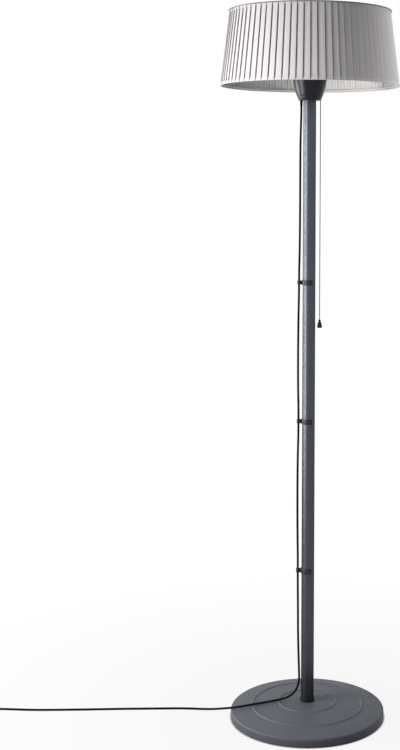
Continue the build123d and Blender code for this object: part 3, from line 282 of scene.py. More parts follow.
knob_black = moulded("knob_plastic", (0.005, 0.005, 0.006), 0.3, 0.2)
grey_plastic = moulded("switch_plastic", (0.09, 0.09, 0.09), 0.5)
nylon = moulded("natural_nylon", (0.72, 0.71, 0.66), 0.45)
zinc = plated("zinc_plate", (0.62, 0.62, 0.60), 0.32)
steel = plated("bright_steel", (0.56, 0.57, 0.58), 0.35)
chrome = plated("chrome_wire", (0.78, 0.79, 0.80), 0.14)
brass = plated("brass", (0.72, 0.53, 0.26), 0.28)
tungsten = plated("tungsten", (0.30, 0.28, 0.27), 0.4)
casting = plated("cast_alloy", (0.5, 0.5, 0.51), 0.5)
mirror = plated("reflector_sheet", (0.86, 0.87, 0.88), 0.16, (0.2, 0.2, 1))
housing_paint = powder_coat("housing_paint", (0.62, 0.62, 0.61), 0.5)
white_paint = powder_coat("white_paint", (0.74, 0.74, 0.72), 0.45)
cap_paint = powder_coat("cap_paint", (0.12, 0.117, 0.12), 0.5)

concrete = Finish("cast_concrete", (0.36, 0.35, 0.32), 0.9)
concrete.tint(concrete.spread(concrete.noise(30, 5), 0, 0.8), (0.26, 0.25, 0.23))
concrete.tint(concrete.spread(concrete.cells(260), 1, 0, 0.0, 0.35), (0.47, 0.46, 0.43))
concrete.bump(concrete.noise(240, 5), 0.5, 0.7).bump(concrete.cells(120), 0.4, 0.4)
concrete = concrete.material
ceramic = Finish("ceramic", (0.80, 0.78, 0.72), 0.7)
ceramic.tint(ceramic.spread(ceramic.noise(120, 3), 0, 0.5), (0.70, 0.67, 0.60))
ceramic.bump(ceramic.noise(800, 3), 0.06, 0.5)
ceramic = ceramic.material
quartz = Finish("quartz_glass", (0.97, 0.93, 0.90), 0.04, Transmission_Weight=1.0, IOR=1.46)
quartz.roughen(quartz.noise(90, 2), 0.02, 0.08)
quartz = quartz.material

# Painted shade deep in the folds of the pleated cloth and of its tapes.
fold_shadow = (0.11, 0.095, 0.095)
shade_cloth = cloth("shade_cloth", (0.77, 0.74, 0.755), (0.68, 0.645, 0.66), 0.55, 0.45,
                    fold_shadow, streak=0.5, painted_top_shade=0.78)
# The lining's creases get painted shade, weighed by its crease values.
lining_cloth = cloth("shade_lining", (0.90, 0.88, 0.87), (0.84, 0.81, 0.80), 0.8, 0.3,
                     (0.56, 0.52, 0.50))
trim_cloth = cloth("shade_trim", (0.79, 0.76, 0.775), (0.70, 0.66, 0.67), 0.7, 0.4,
                   fold_shadow, painted_top_shade=0.78)
braid = Finish("braided_cord", (0.012, 0.012, 0.013), 0.75, Specular_IOR_Level=0.0)
plait = (900, (1, 1, 0.35))  # scale and stretch of the braid's strands
braid.tint(braid.spread(braid.cells(*plait), 0.7, 0.0, 0.0, 0.5), (0.03, 0.03, 0.034))
braid.bump(braid.cells(*plait), 0.15, 0.6)
braid = braid.material


# ---------- making meshes
def rounded(points, steps=4):
    """A closed outline of (x, y, corner radius) points with its corners rounded."""
    outline = []
    for i, (x, y, radius) in enumerate(points):
        here = Vector((x, y))
        before = Vector(points[i - 1][:2]) - here
        after = Vector(points[(i + 1) % len(points)][:2]) - here
        if radius <= 0 or before.length < 1e-9 or after.length < 1e-9:
            outline.append((x, y))
            continue
        half = before.angle(after) / 2
        cut = min(radius / max(tan(half), 1e-6), 0.48 * before.length, 0.48 * after.length)
        start, end = here + before.normalized() * cut, here + after.normalized() * cut
        for k in range(steps + 1):
            t = k / steps
            at = start * (1 - t) ** 2 + here * 2 * t * (1 - t) + end * t**2
            outline.append((at.x, at.y))
    return outline


def inset(outline, by):
    """A convex outline drawn in by a distance."""
    made = []
    for i, here in enumerate(outline):
        here = Vector(here)
        run_in = (here - Vector(outline[i - 1])).normalized()
        run_out = (Vector(outline[(i + 1) % len(outline)]) - here).normalized()
        left = Vector((-run_in.y, run_in.x)) + Vector((-run_out.y, run_out.x))
        left = left / max(left.length_squared / 2, 0.3)
        made.append(tuple(here + left * by))
    return made


def rect(x0, y0, x1, y1, edges=0.0, steps=3):
    """A rectangle between two corners; edges is one corner radius or four, anticlockwise."""
    if not isinstance(edges, tuple):
        edges = (edges,) * 4
    corners = ((x0, y0), (x1, y0), (x1, y1), (x0, y1))
    return rounded([(x, y, edge) for (x, y), edge in zip(corners, edges)], steps)


def centred(x, y, wide, deep, edges=0.0, steps=3):
    """A rectangle round its middle."""
    return rect(x - wide / 2, y - deep / 2, x + wide / 2, y + deep / 2, edges, steps)


def arc(radius, start, sweep, steps, x=0.0):
    """Points along an arc round (x, 0)."""
    angles = [start + sweep * i / steps for i in range(steps + 1)]
    return [(x + radius * cos(a), radius * sin(a)) for a in angles]


def circle(radius, sides):
    """Points round a circle, anticlockwise."""
    return arc(radius, 0, 2 * pi, sides)[:-1]


def hexagon(across):
    return circle(across / 2 / cos(pi / 6), 6)


def turned(count, radius, start=0.0):
    """Matrices that stand copies on a circle round the pole, each turned with its place."""
    angles = [radians(start) + 2 * pi * i / count for i in range(count)]
    return [Matrix.Rotation(a, 4, "Z") @ Matrix.Translation((radius, 0, 0)) for a in angles]


class Form:
    """Vertices and faces of one mesh, in millimetres, gathered from simple closed bodies."""

    def __init__(self):
        self.verts = []
        self.faces = []

    def add(self, verts, faces, matrix=Matrix()):
        first = len(self.verts)
        self.verts += [matrix @ Vector(v) for v in verts]
        self.faces += [[first + i for i in face] for face in faces]
        return self

    def lathe(self, profile, sides, matrix=Matrix()):
        """A closed profile of (r, z) turned round the z axis."""
        count = len(profile)
        verts = [(r * x, r * y, z) for x, y in circle(1, sides) for r, z in profile]
        faces = []
        for i in range(sides):
            for k in range(count):
                a, b = i * count, (i + 1) % sides * count
                faces.append((a + k, b + k, b + (k + 1) % count, a + (k + 1) % count))
        return self.add(verts, faces, matrix)

    def loft(self, rings, matrix=Matrix(), closed=False):
        """Rings of equally many 3D points, joined in order and capped unless they close."""
        count = len(rings[0])
        verts = [point for ring in rings for point in ring]
        faces = []
        pairs = len(rings) if closed else len(rings) - 1
        for i in range(pairs):
            a, b = i * count, (i + 1) % len(rings) * count
            for k in range(count):
                near, far = a + (k + 1) % count, b + (k + 1) % count
                faces.append((a + k, near, far, b + k))
        if not closed:
            faces += [tuple(reversed(range(count))), tuple(range(len(verts) - count, len(verts)))]
        return self.add(verts, faces, matrix)

    def stack(self, outline, levels, matrix=Matrix()):
        """An outline lofted through levels of (how far it is drawn in, height)."""
        rings = [[(x, y, z) for x, y in inset(outline, by)] for by, z in levels]
        return self.loft(rings, matrix)

    def slab(self, outline, low, high, edge, matrix=Matrix()):
        """A flat body with softened edges between two heights."""
        edge = min(edge, 0.45 * (high - low))
        soft = edge * 0.3
        levels = ((edge, low), (soft, low + soft), (0, low + edge),
                  (0, high - edge), (soft, high - soft), (edge, high))
        return self.stack(outline, levels, matrix)

    def wire(self, path, radius, sides=12, closed=False, matrix=Matrix()):
        """A round wire along a path of 3D points; radius may be a list, one for each point."""
        path = [Vector(p) for p in path]
        last = len(path) - 1
        rings = []
        side = None
        for i, here in enumerate(path):
            before = path[i - 1] if i or closed else here
            after = path[(i + 1) % len(path)] if i < last or closed else here
            along = (after - before).normalized()
            if side is None:
                side = along.orthogonal().normalized()
            side = (side - along * side.dot(along)).normalized()
            other = along.cross(side)
            r = radius[i] if isinstance(radius, (list, tuple)) else radius
            rings.append([here + side * x + other * y for x, y in circle(r, sides)])
        return self.loft(rings, matrix, closed)

    def mesh(self, name):
        made = bpy.data.meshes.new(name)
        made.from_pydata([v * MM for v in self.verts], [], self.faces)
        work = bmesh.new()
        work.from_mesh(made)
        bmesh.ops.remove_doubles(work, verts=work.verts, dist=1e-6)
        bmesh.ops.recalc_face_normals(work, faces=work.faces)
        work.to_mesh(made)
        work.free()
        return made


def add_object(name, data):
    made = bpy.data.objects.new(name, data)
    scene.collection.objects.link(made)
    return made


def stand_for(obj, nodes, body):
    """nodes names the CAD nodes that the object replaces, with spaces between."""
    if nodes:
        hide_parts(*nodes.split())
    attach(obj, body)
    return obj


def piece(name, shape, finish, nodes, body="tower", sharp=32):
    """One object made from a form or a mesh, smooth except where it turns by sharp degrees."""
    made = shape.mesh(name) if isinstance(shape, Form) else shape
    obj = add_object(name, made)
    made.materials.append(finish)
    made.shade_smooth()
    made.set_sharp_from_angle(angle=radians(sharp))
    return stand_for(obj, nodes, body)


def spun(name, profile, sides, finish, node, x=0.0, body="tower", sharp=32):
    """A piece turned from one profile about the z axis, or about a line beside it."""
    shape = Form().lathe(profile, sides, Matrix.Translation((x, 0, 0)))
    return piece(name, shape, finish, node, body, sharp)


def curve_piece(name, points, radius, finish, nodes, body="tower"):
    """A round cord along one open NURBS spline with these control points."""
    data = bpy.data.curves.new(name, "CURVE")
    data.dimensions = "3D"
    data.bevel_depth = radius * MM
    data.bevel_resolution = 4
    data.resolution_u = 10
    data.use_fill_caps = True
    line = data.splines.new("NURBS")
    line.points.add(len(points) - 1)
    for at, point in zip(line.points, points):
        at.co = (*(Vector(point) * MM), 1)
    line.order_u = 3
    line.use_endpoint_u = True
    data.materials.append(finish)
    return stand_for(add_object(name, data), nodes, body)


def ring_path(radius, z, sides=128):
    return [(x, y, z) for x, y in circle(radius, sides)]


# ---------- mains lead
def coil_point(turn):
    """A point of the put-away coil: it spirals in, climbs a layer and spirals out."""
    r = COIL_R - COIL_PITCH * (turn if turn < 1 else 2 - turn)
    climb = min(max((turn - 0.75) / 0.5, 0), 1)
    z = LEAD_R + COIL_PITCH * (1 - cos(pi * climb)) / 2
    angle = 2 * pi * (turn + 0.25)
    return Vector((COIL_X + r * cos(angle), COIL_Y + r * sin(angle), z))


def coil_tangent(turn):
    return (coil_point(turn + 0.0005) - coil_point(turn - 0.0005)).normalized()


low_z, mid_z, up_z = CLIPS["lower"], CLIPS["middle"], CLIPS["upper"]
coil_start = coil_point(0) - coil_tangent(0) * 2 * LEAD_R
plug_start = coil_point(COIL_TURNS) + coil_tangent(COIL_TURNS) * 2 * LEAD_R
lead_route = [
    (GLAND_X, 0, CUP - 14), (GLAND_X, 0, CUP - 50), (-26.9, 1.0, CUP - 97),
    (-27.8, 1.6, CUP - 177), (-27.6, 1.1, CUP - 332), (-28.3, 0.4, up_z + 85),
    (CLIP_X, 0, up_z + 38), (CLIP_X, 0, up_z - 38), (-31.2, -0.8, up_z - 100),
    (-31.9, -1.3, mid_z + 198), (-31.4, -0.8, mid_z + 96), (CLIP_X, 0, mid_z + 41),
    (CLIP_X, 0, mid_z - 41), (-31.5, 0.9, mid_z - 106), (-32.1, 1.3, mid_z - 216),
    (-31.3, 0.9, low_z + 116), (CLIP_X, 0, low_z + 41), (CLIP_X, 0, low_z - 41),
    (-28.9, -0.5, low_z - 102), (-28.5, -0.9, low_z - 175), (-26.9, -1.3, BASE_TOP + 144),
    (-25.0, -1.6, BASE_TOP + 92), (-23.9, -2.0, BASE_TOP + 55), (-35.5, -3.5, BASE_TOP + 26),
    (-59.0, -6.0, BASE_TOP + 8.8), (-92.0, -9.5, BASE_TOP + 2.5), (-156.0, -21.5, BASE_TOP - 4.3),
    (-214.0, -36.0, BASE_TOP - 9.0), (-257.0, -5.0, 20.5), (-300.0, 33.0, LEAD_R),
    (-372.0, 39.5, LEAD_R), (-462.0, 36.0, LEAD_R), (-556.0, 33.0, LEAD_R), (-650.0, 27.5, LEAD_R),
    (-744.0, 23.5, LEAD_R), (-822.0, 21.5, LEAD_R),
    coil_start - coil_tangent(0) * 72 + Vector((0, -6, 0)),
    coil_start,
]
turn_points = 16
widen = 1 / (0.75 + 0.25 * cos(2 * pi / turn_points))  # a spline cuts inside its points
for i in range(1, round(COIL_TURNS * turn_points)):
    at = coil_point(i / turn_points)
    wide_x, wide_y = (at.x - COIL_X) * widen, (at.y - COIL_Y) * widen
    lead_route.append((COIL_X + wide_x, COIL_Y + wide_y, at.z))
lead_route += [coil_point(COIL_TURNS), plug_start, plug_start + coil_tangent(COIL_TURNS) * 9]
lead = curve_piece("mains_lead", lead_route, LEAD_R, rubber,
                   "power_cord cord_coil")

# ---------- mains plug
PLUG_TOP, PLUG_LONG, GRIP_LONG = 24.0, 50.0, 30.0
LINE_PIN, EARTH_PIN, PIN_X = (6.35, 4, 17.7), (4, 8, 22.7), 11.1
plug_along = coil_tangent(COIL_TURNS)
plug_x, plug_top_y = plug_start.x, plug_start.y - GRIP_LONG
plug_far_y = plug_top_y - PLUG_LONG
plug_side = [(13, plug_top_y, 4), (24.5, plug_top_y - 16, 9), (24.5, plug_far_y + 16, 12),
             (13, plug_far_y, 6)]
plug_outline = rounded([(plug_x - x, y, edge) for x, y, edge in plug_side]
                       + [(plug_x + x, y, edge) for x, y, edge in plug_side[::-1]], 6)
levels = ((1.6, 0.0), (0.5, 0.5), (0.0, 1.6), (0.3, 12.0), (0.35, 12.2), (1.0, 12.5), (1.0, 13.0),
          (0.45, 13.3), (0.5, 13.6), (1.2, 21.0), (1.9, 23.0), (3.0, 23.8), (4.4, PLUG_TOP))
plug_shape = Form().stack(plug_outline, levels)
grip_path, grip_radii = [], []
for i in range(49):
    t = i / 48
    groove = 0.75 if i % 8 in (4, 5) and 6 < i < 44 else 0.0
    grip_path.append(plug_start + plug_along * (t * 37))
    grip_radii.append(3.95 + 1.3 * t + 2.8 * max(t - 0.8, 0) - groove)
plug_shape.wire(grip_path, grip_radii, 24)
for rib_x in (plug_x + 24.1, plug_x - 24.1):
    for rib_y in (plug_far_y + 17 + 3.2 * i for i in range(6)):
        plug_shape.wire([(rib_x, rib_y, 4), (rib_x, rib_y, 11)], 0.7, 8)
plug = piece("plug_body_moulded", plug_shape, rubber, "plug_body")

pin_shape, sleeve_shape = Form(), Form()
line_y, earth_y, fuse_y = plug_far_y + 31.7, plug_far_y + 9.5, plug_far_y + 20.6
line_places = [(plug_x - PIN_X, line_y), (plug_x + PIN_X, line_y)]
for (x, y), (wide, deep, tall) in zip(line_places + [(plug_x, earth_y)],
                                      (LINE_PIN, LINE_PIN, EARTH_PIN)):
    tip = PLUG_TOP + tall
    levels = ((0.0, PLUG_TOP), (0.0, tip - 1.6), (0.35, tip - 0.8), (1.0, tip))
    pin_shape.stack(centred(x, y, wide, deep), levels)
pins = piece("plug_pins_brass", pin_shape, brass, "plug_pins")
for x, y in line_places:
    sleeve_shape.slab(centred(x, y, 6.6, 4.2), PLUG_TOP, 33.0, 0.2)
sleeve_shape.slab(centred(plug_x, fuse_y, 11.6, 8.6, 1), 22.8, 24.3, 0.2)
sleeve_shape.slab(centred(plug_x, fuse_y + 2.8, 5, 0.8), PLUG_TOP, 24.7, 0.15)
fuse = piece("plug_fuse_cover_and_sleeves", sleeve_shape, black_plastic,
             "plug_fuse_cover")

# ---------- pull cord and knob
pull_top = CUP + 24.0  # the cord's two stretches meet inside the cup, at every pull
pull = curve_piece("pull_cord_line",
                   [(PULL_X, 0, z) for z in (pull_top, 1740, 1560, 1370, KNOB_TOP - 6)],
                   PULL_R, braid, "pull_cord", "pull")
inner_pull = curve_piece("pull_cord_inside", [(PULL_X, 0, z) for z in (1900, 1870, pull_top)],
                         PULL_R, braid, "pull_cord", "pull")
knob_line = rounded([
    (0, KNOB, 0), (6.6, KNOB, 1.2), (7.75, KNOB + 3.2, 1.2), (7.4, KNOB + 5.5, 2),
    (4.6, KNOB + 16, 6), (2.9, KNOB_TOP - 0.8, 0.8), (2.3, KNOB_TOP, 0.3), (PULL_R, KNOB_TOP, 0.2),
    (PULL_R, KNOB_TOP - 3, 0), (0, KNOB_TOP - 3, 0)], 5)
knob = spun("pull_knob_turned", knob_line, 48, knob_black, "pull_knob", PULL_X,
            "pull")

# ---------- base
def cover_z(r):
    """Height of the cover's top: the dome and the smooth swell of its raised rings."""
    height = dome_z(r)
    for ring_r in BEADS:
        share = abs(r - ring_r) / (BEAD_WIDTH / 2)
        height += BEAD_HEIGHT * (1 + cos(pi * share)) / 2 if share < 1 else 0.0
    return height


dome_start, dome_end, edge_r = 23.5, 222.0, 5.0
edge_z = dome_z(dome_end)
radii = [dome_start + (dome_end - dome_start) * i / 160 for i in range(161)]
radii += [ring_r + k * 0.42 for ring_r in BEADS for k in range(-9, 10)]
cover_line = [(BOLT_BORE, BASE_TOP), (21.5, BASE_TOP)]
cover_line += [(r, cover_z(r)) for r in sorted(set(radii))]
edge = arc(edge_r, radians(85), radians(-85), 8)[1:]
cover_line += [(dome_end + x, edge_z - edge_r + z) for x, z in edge]
cover_line += [(BASE_R, 4.0), (226.6, 2.3), (226.0, 2.0), (225.5, 2.6), (225.5, edge_z - 6.5),
               (221.5, edge_z - 1.8)]
cover_line += [(r, dome_z(r) - 1.5) for r in range(210, 20, -12)] + [(BOLT_BORE, BASE_TOP - 1.5)]
spun("base_cover_spun", cover_line, 256, base_paint, "base_cover", sharp=50)

feet = Form()
foot_line = rounded([(3, 0, 0.3), (10.5, 0, 1.2), (12, FOOT_TOP, 0.4), (0, FOOT_TOP, 0),
                     (0, 1.8, 0), (3, 1.8, 0.3)], 3)
for place in turned(6, FOOT_RING):
    feet.lathe(foot_line, 40, place)
piece("base_feet_moulded", feet, foot_rubber, "base_feet")

plate_line = rect(30, FOOT_TOP, 225.2, PLATE_TOP, (0.3, 0.5, 0.3, 0.3), 2)
spun("base_plate_pressed", plate_line, 160, anthracite, "base_plate")


def cross_r(angle, half_width, reach):
    """Radius of a cross-shaped outline at an angle."""
    c, s = max(abs(cos(angle)), 1e-6), max(abs(sin(angle)), 1e-6)
    return max(min(reach / c, half_width / s), min(reach / s, half_width / c))


def screw(shape, matrix, head_r, head_h, shank_r, length, sink=False):
    """A cross-recess screw whose head's underside is at the origin and whose head points to +z."""
    corner = atan(0.28)
    half = [0, corner / 2, corner, (corner + pi / 4) / 2]
    quarter = half + [pi / 4] + [pi / 2 - a for a in half[:0:-1]]
    angles = [k * pi / 2 + a for k in range(4) for a in quarter]

    def ring(r, z):
        return [(r * cos(a), r * sin(a), z) for a in angles]

    def recess(scale, z):
        radii = [scale * cross_r(a, 0.15 * head_r, 0.54 * head_r) for a in angles]
        return [(r * cos(a), r * sin(a), z) for r, a in zip(radii, angles)]

    rings = [ring(shank_r * 0.6, -length), ring(shank_r, -length + shank_r * 0.6), ring(shank_r, 0)]
    if sink:
        rings += [ring(head_r, head_h * 0.8), ring(head_r, head_h), ring(head_r * 0.62, head_h)]
        top = head_h
    else:
        rings += [ring(head_r, 0), ring(head_r, head_h * 0.4)]
        rings += [ring(head_r * cos(t), head_h * (0.4 + 0.6 * sin(t))) for t in (0.45, 0.8, 0.95)]
        top = head_h * 0.92
    rings += [recess(1.0, top), recess(0.72, top - head_h * 0.6)]
    shape.loft(rings, matrix)


def hung(place, z):
    """A place upside down at a height."""
    return place @ Matrix.Translation((0, 0, z)) @ Matrix.Rotation(pi, 4, "X")


plate_screws = Form()
for place in turned(3, 125):
    screw(plate_screws, hung(place, PLATE_TOP), 4.6, 1.4, 2.5, 16, True)
piece("plate_screws_cross", plate_screws, zinc, "plate_screws")

head_low, head_top, bolt_tip = 8.6, 15.0, 83.5
bolt = Form().slab(hexagon(17), head_low, head_top, 0.5)
bolt.lathe(rect(0, head_top, 5, bolt_tip, (0, 0, 0.9, 0)), 32)
piece("base_bolt_hex", bolt, zinc, "base_bolt")
washer_line = rect(5.2, head_top, 15, head_top + 2.5, (0.3, 0.5, 0.5, 0.3))
spun("base_washer_wide", washer_line, 48, zinc, "base_washer")

# ---------- pole
ring_line = rounded([(19.1, BASE_TOP, 0.3), (21.5, BASE_TOP, 0.3), (21.5, 53.0, 1.6),
                     (20.2, 54.5, 0.6), (19.1, 54.5, 0.5)], 5)
spun("pole_foot_trim_ring", ring_line, 128, foot_ring_paint, "pole_foot_ring")
joint_half = [(14, JOINT - 55, 0.5), (17.4, JOINT - 55, 1), (17.4, JOINT, 0), (18.85, JOINT, 0.3),
              (POLE_R, JOINT + 0.6, 0.2)]
joint_line = rounded(joint_half + [(r, JOINT + JOINT_TOP - z, edge)
                                   for r, z, edge in joint_half[::-1]], 3)
for name, line, node in (
        ("pole_lower_tube", rect(POLE_BORE, POLE_FOOT, POLE_R, JOINT, 0.3), "pole_lower"),
        ("pole_joint_turned", joint_line, "pole_joint"),
        ("pole_upper_tube", rect(POLE_BORE, JOINT_TOP, POLE_R, POLE_TOP, 0.3), "pole_upper")):
    spun(name, line, 128, anthracite, node)

# ---------- cable clips
clip_r, clip_bore, clip_reach, clip_steps = 21.35, 19.12, radians(118), 64
eye_gap = radians(27)
outline = arc(clip_r, pi - clip_reach, 2 * clip_reach, clip_steps)
tip = pi + clip_reach
outline += [(21.45 * cos(tip + k), 20.5 * sin(tip + k)) for k in (0.03, 0.05)]
outline += arc(clip_bore, tip, -2 * clip_reach, clip_steps)
eye = arc(5.95, pi + eye_gap, 2 * pi - 2 * eye_gap, 48, CLIP_X)
eye += arc(3.6, pi + eye_gap, 2 * pi - 2 * eye_gap, 48, CLIP_X)[::-1]
for place, height in CLIPS.items():
    rings = []
    for by, z in ((0.45, -7.5), (0.12, -7.3), (0.0, -6.9), (0.0, 6.9), (0.12, 7.3), (0.45, 7.5)):
        ring = []
        for i, (x, y) in enumerate(outline):
            outside = i < clip_steps + 2
            share = (clip_r - by) / sqrt(x * x + y * y) if outside else 1.0
            ring.append((x * share, y * share, height + z))
        rings.append(ring)
    clip = Form().loft(rings)
    clip.loft([[(CLIP_X + (x - CLIP_X) * s, y * s, height + z) for x, y in eye]
               for s, z in ((0.985, -6), (1.0, -5.7), (1.0, 5.7), (0.985, 6))])
    web = [(-25.2, -2.2), (-20.2, -3.4), (-20.2, 3.4), (-25.2, 2.2)]
    clip.slab(web, height - 6, height + 6, 0.5)
    name = f"cable_clip_{place}"
    piece(f"{name}_moulded", clip, black_plastic, name)

# ---------- cup
outer_low = [(cup_r(h), CUP + h) for h in (1.2, 2.5, 4, 6, 8, 10, 12.4)]
inner_low = [(cup_r(h) - CUP_WALL, CUP + h) for h in (9, 6, 3.6)]
seam_r, ledge = cup_r(13), CUP_SPLIT + 2
ring_profile = [(19.4, CUP), (30.9, CUP), (31.9, CUP + 0.25), (32.6, CUP + 0.7), *outer_low,
                (seam_r - 0.35, CUP_SPLIT - 0.1), (seam_r - 2.7, CUP_SPLIT - 0.1),
                (seam_r - 2.75, ledge), (seam_r - 5.0, ledge), *inner_low,
                (29, CUP + CUP_WALL), (19.4, CUP + CUP_WALL)]
spun("cup_ring_moulded", ring_profile, 160, cup_black, "cup_ring", sharp=40)
heights = [13.5, 15, 18, 22, 27, 33, 40, 48, 57, 67, 78, 90, 102, 113.5]
bell_profile = [(seam_r - 2.3, CUP_SPLIT), (seam_r - 0.3, CUP_SPLIT)]
bell_profile += [(cup_r(h), CUP + h) for h in heights]
bell_profile += [(56.5, CUP_FLANGE), (62.5, CUP_FLANGE), (63, CUP_FLANGE + 0.5),
                 (63, CUP_FLANGE + 3), (53, CUP_FLANGE + 3)]
bell_profile += [(cup_r(h) - CUP_WALL, CUP + h) for h in reversed(heights)]
spun("cup_bell_moulded", bell_profile, 160, cup_black, "cup_bell", sharp=40)

cup_screws = Form()
for place in turned(3, 58.5, 90):
    screw(cup_screws, hung(place, CUP_FLANGE), 3.2, 2.2, 1.75, 9)
piece("cup_screws_cross", cup_screws, zinc, "cup_screws")

gland_line = [(LEAD_R, CUP - 14), (3.75, CUP - 14), (3.95, CUP - 13.4)]
for k in range(4):
    z, wide, waist = CUP - 12.4 + 3.0 * k, 4.02 + 0.11 * k, 3.67 + 0.11 * k
    gland_line += [(wide, z), (wide + 0.12, z + 1.7), (waist, z + 2.0), (waist, z + 2.6)]
gland_line += [(4.6, CUP - 0.2), (4.6, CUP + 2.4), (5.4, CUP + 2.6), (5.4, CUP + 5),
               (4.4, CUP + 5.4), (4.4, CUP + 10), (LEAD_R, CUP + 10)]
spun("strain_relief", gland_line, 40, rubber, "cord_gland", GLAND_X)
bush_line = rect(1.25, CUP - 0.3, 2.1, CUP + 11.7, (0.1, 0.3, 0.2, 0.1))
spun("pull_cord_bush", bush_line, 32, cup_black, "cord_bush", PULL_X)

# ---------- heater
sheet = 1.2
dish_line = rounded([
    (POST_HOLE, HUB, 0), (72, HUB, 5), (92, CROWN, 9), (165.03, CROWN, 12), (200, RIM, 3),
    (DISH_R, RIM, 0.3), (DISH_R, RIM + sheet, 0.3), (200.4, RIM + sheet, 3),
    (165.4, CROWN + sheet, 12), (91.4, CROWN + sheet, 9), (71.4, HUB + sheet, 5),
    (POST_HOLE, HUB + sheet, 0)], 7)
spun("reflector_spun", dish_line, 160, mirror, "reflector")
can_rim, can_top, can_r = RIM + sheet, 2009.2, 202
can_line = rounded([
    (POST_HOLE, can_top, 0), (can_r, can_top, 5), (can_r, can_rim, 1), (DISH_R, can_rim, 0.3),
    (DISH_R, can_rim + 1, 0.3), (can_r + 1, can_rim + 1, 1), (can_r + 1, can_top + 1, 6),
    (POST_HOLE, can_top + 1, 0)], 5)
spun("heater_can", can_line, 160, housing_paint, "heater_housing")

lamp_end, filament_end = 99.5, 94
along_y = Matrix.Rotation(-pi / 2, 4, "X")
glass, wires, ends, brackets = Form(), Form(), Form(), Form()
for place in turned(3, 104, 90):
    place = place @ Matrix.Translation((0, 0, LAMP))
    lay = place @ along_y
    glass.lathe(rect(4.5, -lamp_end, 5.5, lamp_end), 40, lay)
    coil = [(0.9 * cos(k * pi / 3), 0.9 * sin(k * pi / 3), filament_end * (k / 280 - 1))
            for k in range(561)]
    wires.wire([(0, 0, -99)] + coil + [(0, 0, 99)], 0.22, 5, matrix=lay)
    for side in (1, -1):
        for size, edge, near, far, soft in ((15, 1.5, 98, 122, 1.0), (10.8, 1, 119.5, 122, 0.3)):
            low, high = sorted((side * near, side * far))
            ends.slab(centred(0, 0, size, size, edge, 4), low, high, soft, lay)
        bend, out, tab = side * 111, side * 0.75, side * 9.6
        sheet_line = [(bend - out, 6.9), (bend - out, 24.0), (bend + tab, 24.0),
                      (bend + tab, 22.5), (bend + out, 22.5), (bend + out, 6.9)]
        brackets.loft([[(x, y, z) for y, z in sheet_line] for x in (-6, 6)], place)
piece("quartz_lamps", glass, quartz, "quartz_tubes")
piece("lamp_filaments", wires, tungsten, "filaments")
piece("lamp_end_caps", ends, ceramic, "tube_ends")
piece("lamp_brackets", brackets, steel, "tube_brackets")

guard = Form()
wire_r, wire_z, inner_ring, outer_ring = 1.5, RIM - 1.5, 68, 203
for radius in (inner_ring, 101.5, 135, 168.5, outer_ring):
    guard.wire(ring_path(radius, wire_z, 120), wire_r, 10, True)
tab = rect(outer_ring, -6.5, 214.8, 6.5, (0.5, 3, 3, 0.5), 5)
for place in turned(6, 0):
    guard.wire([(r, 0, wire_z - 2.7) for r in (66.5, 135, outer_ring)], wire_r, 10, matrix=place)
    guard.slab(tab, wire_z, RIM - 0.02, 0.2, place)
piece("guard_wires", guard, chrome, "guard")
rim_screws = Form()
for place in turned(6, 210.25):
    stand = hung(place, wire_z)
    rim_screws.slab(hexagon(6.6), 0, 2.6, 0.3, stand)
    rim_screws.lathe(rect(0, -7, 2, 0, (0, 0.4, 0, 0)), 20, stand)
piece("rim_screws_hex", rim_screws, zinc, "rim_screws")

# ---------- shade
PLEATS, LAP = 80, 1.4
pleat_angle = 2 * pi / PLEATS
shifts = [chance.uniform(-0.055, 0.055) for _ in range(PLEATS)]
bows = [chance.uniform(-0.02, 0.02) for _ in range(PLEATS)]
crowns = [chance.uniform(0.1, 0.4) for _ in range(PLEATS)]
gaps = [chance.uniform(2.4, 3.4) for _ in range(PLEATS)]


def pleated_level(z, tape=False, lift=0.0, flat=1.0):
    """One level of the pleats as (angle, radius, crease).

    Each band rises from a slot to a fold that laps the next. The tape's level lies over the
    cloth's and bridges the slots part of the way down; flat scales its depth."""
    share = (z - SHADE) / (SHADE_TOP - SHADE)
    free = max(sin(pi * share), 0.0)
    outer = fold_r(z) + lift
    mm = 1 / outer
    level = []
    for i in range(PLEATS):
        tuck = (i + shifts[i - 1] + bows[i - 1] * free) * pleat_angle
        fold = (i + 1 + shifts[i] + bows[i] * free) * pleat_angle + LAP * mm
        start = tuck + LAP * mm
        slot = gaps[i] * (0.62 + 0.38 * free**0.6)
        crown = crowns[i] * (0.4 + 0.6 * free)
        if tape:
            foot, top = -0.95, 0.42
            head = ((0.6, -1.45, 0.8), (0.5 * slot, -1.6, 1.0), (0.85 * slot, -1.45, 0.6),
                    (slot + 0.2, -1.2, 0.1), (slot + 1.2, foot, 0.0))
            tail = ((-1.0, top, 0.0), (-0.2, 0.5, 0.0), (0.4, 0.2, 0.0), (0.5, -0.4, 0.05),
                    (0.5, -0.95, 0.35))
        else:
            foot, top = -2.55, -0.12
            head = ((-0.4 - LAP, -4.3, 0.2), (0.35 * slot, -4.3, 0.8), (0.7 * slot, -3.7, 0.35),
                    (slot, -3.1, 0.05), (slot + 1.0, foot, 0.0))
            tail = ((-1.0, top, 0.0), (-0.35, -0.02, 0.0), (0.0, -0.4, 0.0), (-0.2, -0.95, 0.0),
                    (-1.2, -1.6, 0.1))
        level += [(start + along * mm, outer + down, dark) for along, down, dark in head]
        low, high = start + head[-1][0] * mm, fold - mm
        for t in (0.25, 0.5, 0.75):
            swell = foot + (top - foot) * t + crown * sin(pi * t)
            level.append((low + (high - low) * t, outer + swell, 0.0))
        level += [(fold + along * mm, outer + down, dark) for along, down, dark in tail]
    return [(a, outer + (r - outer) * flat if r < outer else r, dark * flat)
            for a, r, dark in level]


